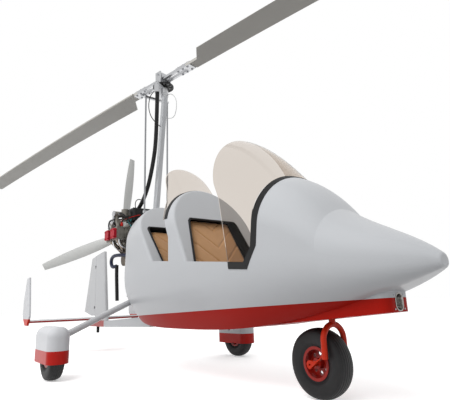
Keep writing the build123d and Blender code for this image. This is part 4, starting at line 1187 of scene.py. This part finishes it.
@dataclass
class EngineBay:
    """Hoses, leads and cables round the open engine and the mast.

    Attributes:
        cylinders: Places of the two cylinders of a bank.
        plug_spread: Half distance between a cylinder's plugs.
        plug_side: Place of the plugs to the side.
        plug_top: Height of the plugs' tops.
        cap_radius: Radius of a plug's cap.
        cap_height: Height of the cap.
        cap_drop: How far the cap reaches down over its plug.
        lead_radius: Radius of an ignition lead.
        lead_ends: Places where the leads of the two cylinders end on the airbox.
        boss_side: Place of the round fittings to the side.
        bosses: Place, height, radius and length of the round fittings outside.
        clamp_place: Place of a pipe's clamp, as a share of its first stretch.
        clamp_room: Room between the pipe and the clamp's middle line.
        clamp_thick: Radius of the clamp's section.
    """

    cylinders: tuple[float, float] = (-0.405, -0.545)
    plug_spread: float = 0.026
    plug_side: float = 0.231
    plug_top: float = 1.242
    cap_radius: float = 0.0125
    cap_height: float = 0.036
    cap_drop: float = 0.026
    lead_radius: float = 0.004
    lead_ends: tuple[float, float] = (-0.352, -0.538)
    boss_side: float = 0.28
    bosses: tuple[tuple[float, float, float, float], ...] = (
        (-0.445, 1.34, 0.03, 0.012), (-0.445, 1.3, 0.014, 0.016), (-0.475, 1.262, 0.02, 0.014),
    )
    clamp_place: float = 0.4
    clamp_room: float = 0.002
    clamp_thick: float = 0.003

    def build(self, shop: Shop) -> None:
        """Build what hangs on the engine.

        Args:
            shop: Gives finishes and bodies.
        """
        caps, fittings, clamps = bmesh.new(), bmesh.new(), bmesh.new()
        for side, place, step in product((1, -1), self.cylinders, (1, -1)):
            foot = (place + step * self.plug_spread, side * self.plug_side, self.plug_top - self.cap_drop)
            add_disc(caps, Matrix.Translation(foot), self.cap_radius, self.cap_height, sides=18, edge=0.003)
        for side in (1, -1):
            outward = Vector((0.0, side, 0.0))
            for place, height, radius, length in self.bosses:
                foot = turned_to(outward, Vector((place, side * self.boss_side, height)))
                add_disc(fittings, foot, radius, length, sides=24, edge=0.003)
            for pipe in self.pipes(side):
                start, onward = Vector(pipe.route[0]), Vector(pipe.route[1])
                middle = turned_to(onward - start, start.lerp(onward, self.clamp_place))
                add_ring(clamps, middle, pipe.radius + self.clamp_room, self.clamp_thick)
        shop.piece("plug_caps", caps, Finishes.LEAD, "prop_red")
        shop.piece("engine_bosses", fittings, Finishes.ALLOY, "steel")
        shop.piece("hose_clamps", clamps, Finishes.STEEL, "steel")

    def cords(self, shop: Shop) -> None:
        """Build the hoses, pipes, leads and cables.

        Args:
            shop: Gives finishes and bodies.
        """
        for hose in (*self.hoses(), *self.leads(), *self.pipes(1), *self.pipes(-1)):
            hose.build(shop)

    def pipes(self, side: int) -> tuple[Hose, ...]:
        """List the pipes and breathers of one bank.

        Args:
            side: 1 to port, -1 to starboard.

        Returns:
            The pipes.
        """
        bank = "left" if side > 0 else "right"
        made = []
        for number, place in enumerate(self.cylinders, 1):
            made.append(
                Hose(
                    f"oil_return_{bank}_{number}",
                    (
                        (place + 0.045, side * 0.262, 1.13), (place + 0.045, side * 0.272, 1.06),
                        (place + 0.03, side * 0.2, 1.01), (place, side * 0.09, 1.03),
                    ),
                    0.008, Finishes.ALLOY, "steel", moulded=True,
                )
            )
            made.append(
                Hose(
                    f"head_breather_{bank}_{number}",
                    (
                        (place - 0.04, side * 0.268, 1.2), (place - 0.045, side * 0.285, 1.27),
                        (place - 0.03, side * 0.25, 1.32), (place + 0.01, side * 0.16, 1.315),
                    ),
                    0.0075, Finishes.HOSE, moulded=True,
                )
            )
        made.append(
            Hose(
                f"fuel_hose_{bank}",
                (
                    (-0.43, side * 0.235, 1.335), (-0.37, side * 0.26, 1.345), (-0.31, side * 0.22, 1.3),
                    (-0.3, side * 0.15, 1.2), (-0.33, side * 0.1, 1.12),
                ),
                0.0065, Finishes.HOSE,
            )
        )
        return tuple(made)

    def leads(self) -> tuple[Hose, ...]:
        """List the ignition leads, from each plug to the airbox's end.

        Returns:
            The leads.
        """
        banks = zip(self.cylinders, (1, -1), self.lead_ends)
        made = []
        for side, (place, way, end), (number, step) in product((1, -1), banks, enumerate((1, -1))):
            plug = place + step * self.plug_spread
            out = place + way * (0.075 + 0.014 * number)
            route = (
                (plug, side * self.plug_side, self.plug_top),
                (plug, side * self.plug_side, self.plug_top + 0.035),
                (out, side * (0.2 - 0.02 * number), self.plug_top + 0.05),
                (out, side * (0.11 - 0.025 * number), self.plug_top + 0.085),
                (end, side * (0.09 - 0.03 * number), self.plug_top + 0.09),
            )
            finish = Finishes.LEAD if number else Finishes.HOSE
            made.append(Hose(f"ignition_lead_{len(made) + 1}", route, self.lead_radius, finish))
        return tuple(made)

    def hoses(self) -> tuple[Hose, ...]:
        """List the hoses and cables.

        Returns:
            The hoses.
        """
        return (
            Hose(
                "drive_shaft_sleeve",
                (
                    (0.0698, -0.1, 2.4064), (0.046, -0.095, 2.0), (-0.03, -0.085, 1.77),
                    (-0.214, -0.07, 1.48), (-0.398, -0.061, 1.4),
                ),
                0.019, Finishes.HOSE, stands_for="flex_shaft",
            ),
            Hose(
                "coolant_elbow",
                (
                    (-0.375, -0.158, 0.955), (-0.46, -0.19, 0.962), (-0.58, -0.205, 0.972), (-0.665, -0.205, 0.962),
                    (-0.69, -0.205, 0.915), (-0.655, -0.205, 0.868), (-0.6, -0.205, 0.866), (-0.58, -0.19, 0.872),
                ),
                0.0165, Finishes.COOLANT, moulded=True,
            ),
            Hose(
                "drain_hose",
                (
                    (-0.58, -0.19, 0.88), (-0.59, -0.186, 0.83), (-0.61, -0.176, 0.75),
                    (-0.632, -0.162, 0.65), (-0.652, -0.15, 0.555),
                ),
                0.0165, Finishes.HOSE, far_end="bare",
            ),
            Hose(
                "loom_loop",
                (
                    (-0.365, -0.1, 1.375), (-0.33, -0.13, 1.43), (-0.25, -0.14, 1.46),
                    (-0.17, -0.12, 1.43), (-0.2, -0.08, 1.37), (-0.3, -0.07, 1.36),
                ),
                0.004, Finishes.HOSE,
            ),
            Hose(
                "sensor_wire_upper",
                (
                    (-0.42, -0.128, 1.31), (-0.39, -0.18, 1.29), (-0.325, -0.17, 1.22),
                    (-0.31, -0.13, 1.14), (-0.34, -0.1, 1.09),
                ),
                0.004, Finishes.WIRE,
            ),
            Hose(
                "sensor_wire_lower",
                (
                    (-0.4, -0.128, 1.3), (-0.36, -0.16, 1.27), (-0.3, -0.16, 1.17),
                    (-0.3, -0.12, 1.08), (-0.34, -0.08, 1.05),
                ),
                0.004, Finishes.WIRE,
            ),
            Hose(
                "head_cable",
                (
                    (0.055, 0.015, 2.425), (0.12, 0.025, 2.42), (0.21, 0.03, 2.3),
                    (0.17, 0.03, 2.16), (0.08, 0.02, 2.17), (0.02, 0.012, 2.2),
                ),
                0.003, Finishes.CABLE,
            ),
            Hose(
                "brake_cable",
                (
                    (0.05, -0.115, 2.43), (0.03, -0.15, 2.4), (-0.02, -0.15, 2.28),
                    (-0.03, -0.1, 2.17), (-0.02, -0.02, 2.12),
                ),
                0.004, Finishes.HOSE,
            ),
        )


@dataclass(frozen=True)
class Softbox:
    """A soft lamp of the studio.

    Attributes:
        name: Its name.
        place: Its place.
        aim: The place it points at.
        size: Length of its sides.
        power: Its power in watts.
    """

    name: str
    place: tuple[float, float, float]
    aim: tuple[float, float, float]
    size: float
    power: float


@dataclass
class Studio:
    """Floor, light and the camera of the photograph.

    Attributes:
        place: Camera's place.
        yaw: Its heading in degrees.
        pitch: Its tilt above level in degrees.
        roll: Its roll in degrees.
        lens: Focal length in millimetres.
        sensor: Width of its sensor in millimetres.
        floor_half: Half width of the floor.
        floor_seen: Colour of the floor where it is looked at.
        floor_bounce: Colour of the light that the floor throws up.
        floor_glow: Glow of the floor where it is looked at.
        surround: Strength of the white surround as a light.
        softboxes: The soft lamps.
    """

    place: tuple[float, float, float] = (3.2542, -1.7409, 0.4873)
    yaw: float = 143.2947
    pitch: float = 13.8548
    roll: float = -2.2369
    lens: float = 33.595
    sensor: float = 36.0
    floor_half: float = 60.0
    floor_seen: str = "#f7f7f7"
    floor_bounce: str = "#b2b2b2"
    floor_glow: float = 0.35
    surround: float = 0.8
    softboxes: tuple[Softbox, ...] = (
        Softbox("key", (3.5, -4.5, 7.0), (0.8, 0.0, 0.8), size=5.0, power=360.0),
        Softbox("fill", (-2.0, -6.0, 4.0), (-0.3, 0.0, 1.0), size=5.0, power=200.0),
        Softbox("back", (-4.0, 5.0, 5.5), (0.0, 0.0, 1.2), size=4.0, power=80.0),
    )

    def camera(self) -> None:
        """Make the camera."""
        yaw, pitch, roll = (math.radians(a) for a in (self.yaw, self.pitch, self.roll))
        ahead = Vector((math.cos(pitch) * math.cos(yaw), math.cos(pitch) * math.sin(yaw), math.sin(pitch)))
        right = ahead.cross(Vector((0, 0, 1))).normalized()
        above = right.cross(ahead)
        across = right * math.cos(roll) + above * math.sin(roll)
        upward = above * math.cos(roll) - right * math.sin(roll)
        data = bpy.data.cameras.new("camera")
        data.lens = self.lens
        data.sensor_width = self.sensor
        camera = bpy.data.objects.new("camera", data)
        camera.matrix_world = Matrix.Translation(self.place) @ Matrix((across, upward, -ahead)).transposed().to_4x4()
        bpy.context.scene.collection.objects.link(camera)
        bpy.context.scene.camera = camera

    def seen_socket(self, tree: bpy.types.NodeTree) -> bpy.types.NodeSocket:
        """Give the socket that is 1 where the camera, a mirror or glass looks.

        Args:
            tree: Node tree of the floor or the surround.

        Returns:
            The mask's socket.
        """
        path = add_node(tree, "ShaderNodeLightPath")
        seen = path.outputs["Is Camera Ray"]
        for other in ("Is Glossy Ray", "Is Transmission Ray"):
            both = add_node(tree, "ShaderNodeMath", {0: seen, 1: path.outputs[other]}, operation="MAXIMUM")
            seen = both.outputs["Value"]
        return seen

    def floor(self) -> None:
        """Make the pale floor."""
        shape = bmesh.new()
        bmesh.ops.create_grid(shape, x_segments=1, y_segments=1, size=self.floor_half)
        mesh = bpy.data.meshes.new("floor")
        shape.to_mesh(mesh)
        shape.free()
        material, tree, shader, _ = start_material("studio_floor")
        seen = self.seen_socket(tree)
        pale = add_node(tree, "ShaderNodeMix", {"Factor": seen}, data_type="RGBA")
        pale.inputs["A"].default_value = linear(self.floor_bounce)
        pale.inputs["B"].default_value = linear(self.floor_seen)
        glow = add_node(tree, "ShaderNodeMath", {0: seen, 1: self.floor_glow}, operation="MULTIPLY")
        tree.links.new(pale.outputs["Result"], shader.inputs["Base Color"])
        tree.links.new(glow.outputs["Value"], shader.inputs["Emission Strength"])
        shader.inputs["Emission Color"].default_value = (1.0, 1.0, 1.0, 1.0)
        shader.inputs["Roughness"].default_value = 0.9
        shader.inputs["Specular IOR Level"].default_value = 0.0
        mesh.materials.append(material)
        floor = bpy.data.objects.new("floor", mesh)
        bpy.context.scene.collection.objects.link(floor)

    def light(self) -> None:
        """Make the white surround and the soft lamps."""
        world = bpy.data.worlds.new("studio")
        bpy.context.scene.world = world
        world.use_nodes = True
        tree = world.node_tree
        background = tree.nodes["Background"]
        strength = add_node(
            tree, "ShaderNodeMapRange", {"Value": self.seen_socket(tree), "To Min": self.surround, "To Max": 1.0}
        )
        tree.links.new(strength.outputs["Result"], background.inputs["Strength"])
        background.inputs["Color"].default_value = (1.0, 1.0, 1.0, 1.0)
        for box in self.softboxes:
            lamp = bpy.data.lights.new(box.name, "AREA")
            lamp.energy = box.power
            lamp.size = box.size
            light = bpy.data.objects.new(box.name, lamp)
            light.visible_transmission = False
            light.visible_glossy = False
            light.location = box.place
            light.rotation_euler = (Vector(box.aim) - Vector(box.place)).to_track_quat("-Z", "Y").to_euler()
            bpy.context.scene.collection.objects.link(light)

    def build(self) -> None:
        """Build the whole studio."""
        self.camera()
        self.floor()
        self.light()
        bpy.context.scene.view_settings.view_transform = "Standard"


def dress_nodes(shop: Shop, nodes: dict[str, bpy.types.Object]) -> None:
    """Give each CAD node its finish.

    Args:
        shop: Gives the materials.
        nodes: CAD nodes.
    """
    for finish, names in NODE_FINISH.items():
        for name in names:
            nodes[name].data.materials.clear()
            nodes[name].data.materials.append(shop.material(finish))
            LOG.info("node %s in %s", name, finish.value.name)


def main() -> None:
    """Build the studio, dress the frame and add the pieces."""
    logging.basicConfig(level=logging.INFO, format="%(name)s: %(message)s")
    shop = Shop()
    engine_bay = EngineBay()
    Studio().build()
    engine_bay.cords(shop)
    dress_nodes(shop, frame["nodes"])
    front = SeatFace(foot=0.925, lean=0.525, top=0.366, top_half=0.205, foot_half=0.268)
    rear = SeatFace(foot=0.430, lean=0.78, top=0.378, top_half=0.254, foot_half=0.238)
    Seat("seat_front", front, pan_top=0.505, pan_front=1.420, rise=0.045).build(shop)
    Seat("seat_rear", rear, pan_top=0.600, pan_front=0.860).build(shop)
    OpeningEdge("front_opening_edge", front).build(shop)
    OpeningEdge("rear_opening_edge", rear).build(shop)
    Rotor().build(shop, frame["joints"])
    Lamp().build(shop, frame["nodes"])
    Panel().build(shop)
    Wheels().build(frame["nodes"])
    engine_bay.build(shop)


if __name__ == "__main__":
    main()
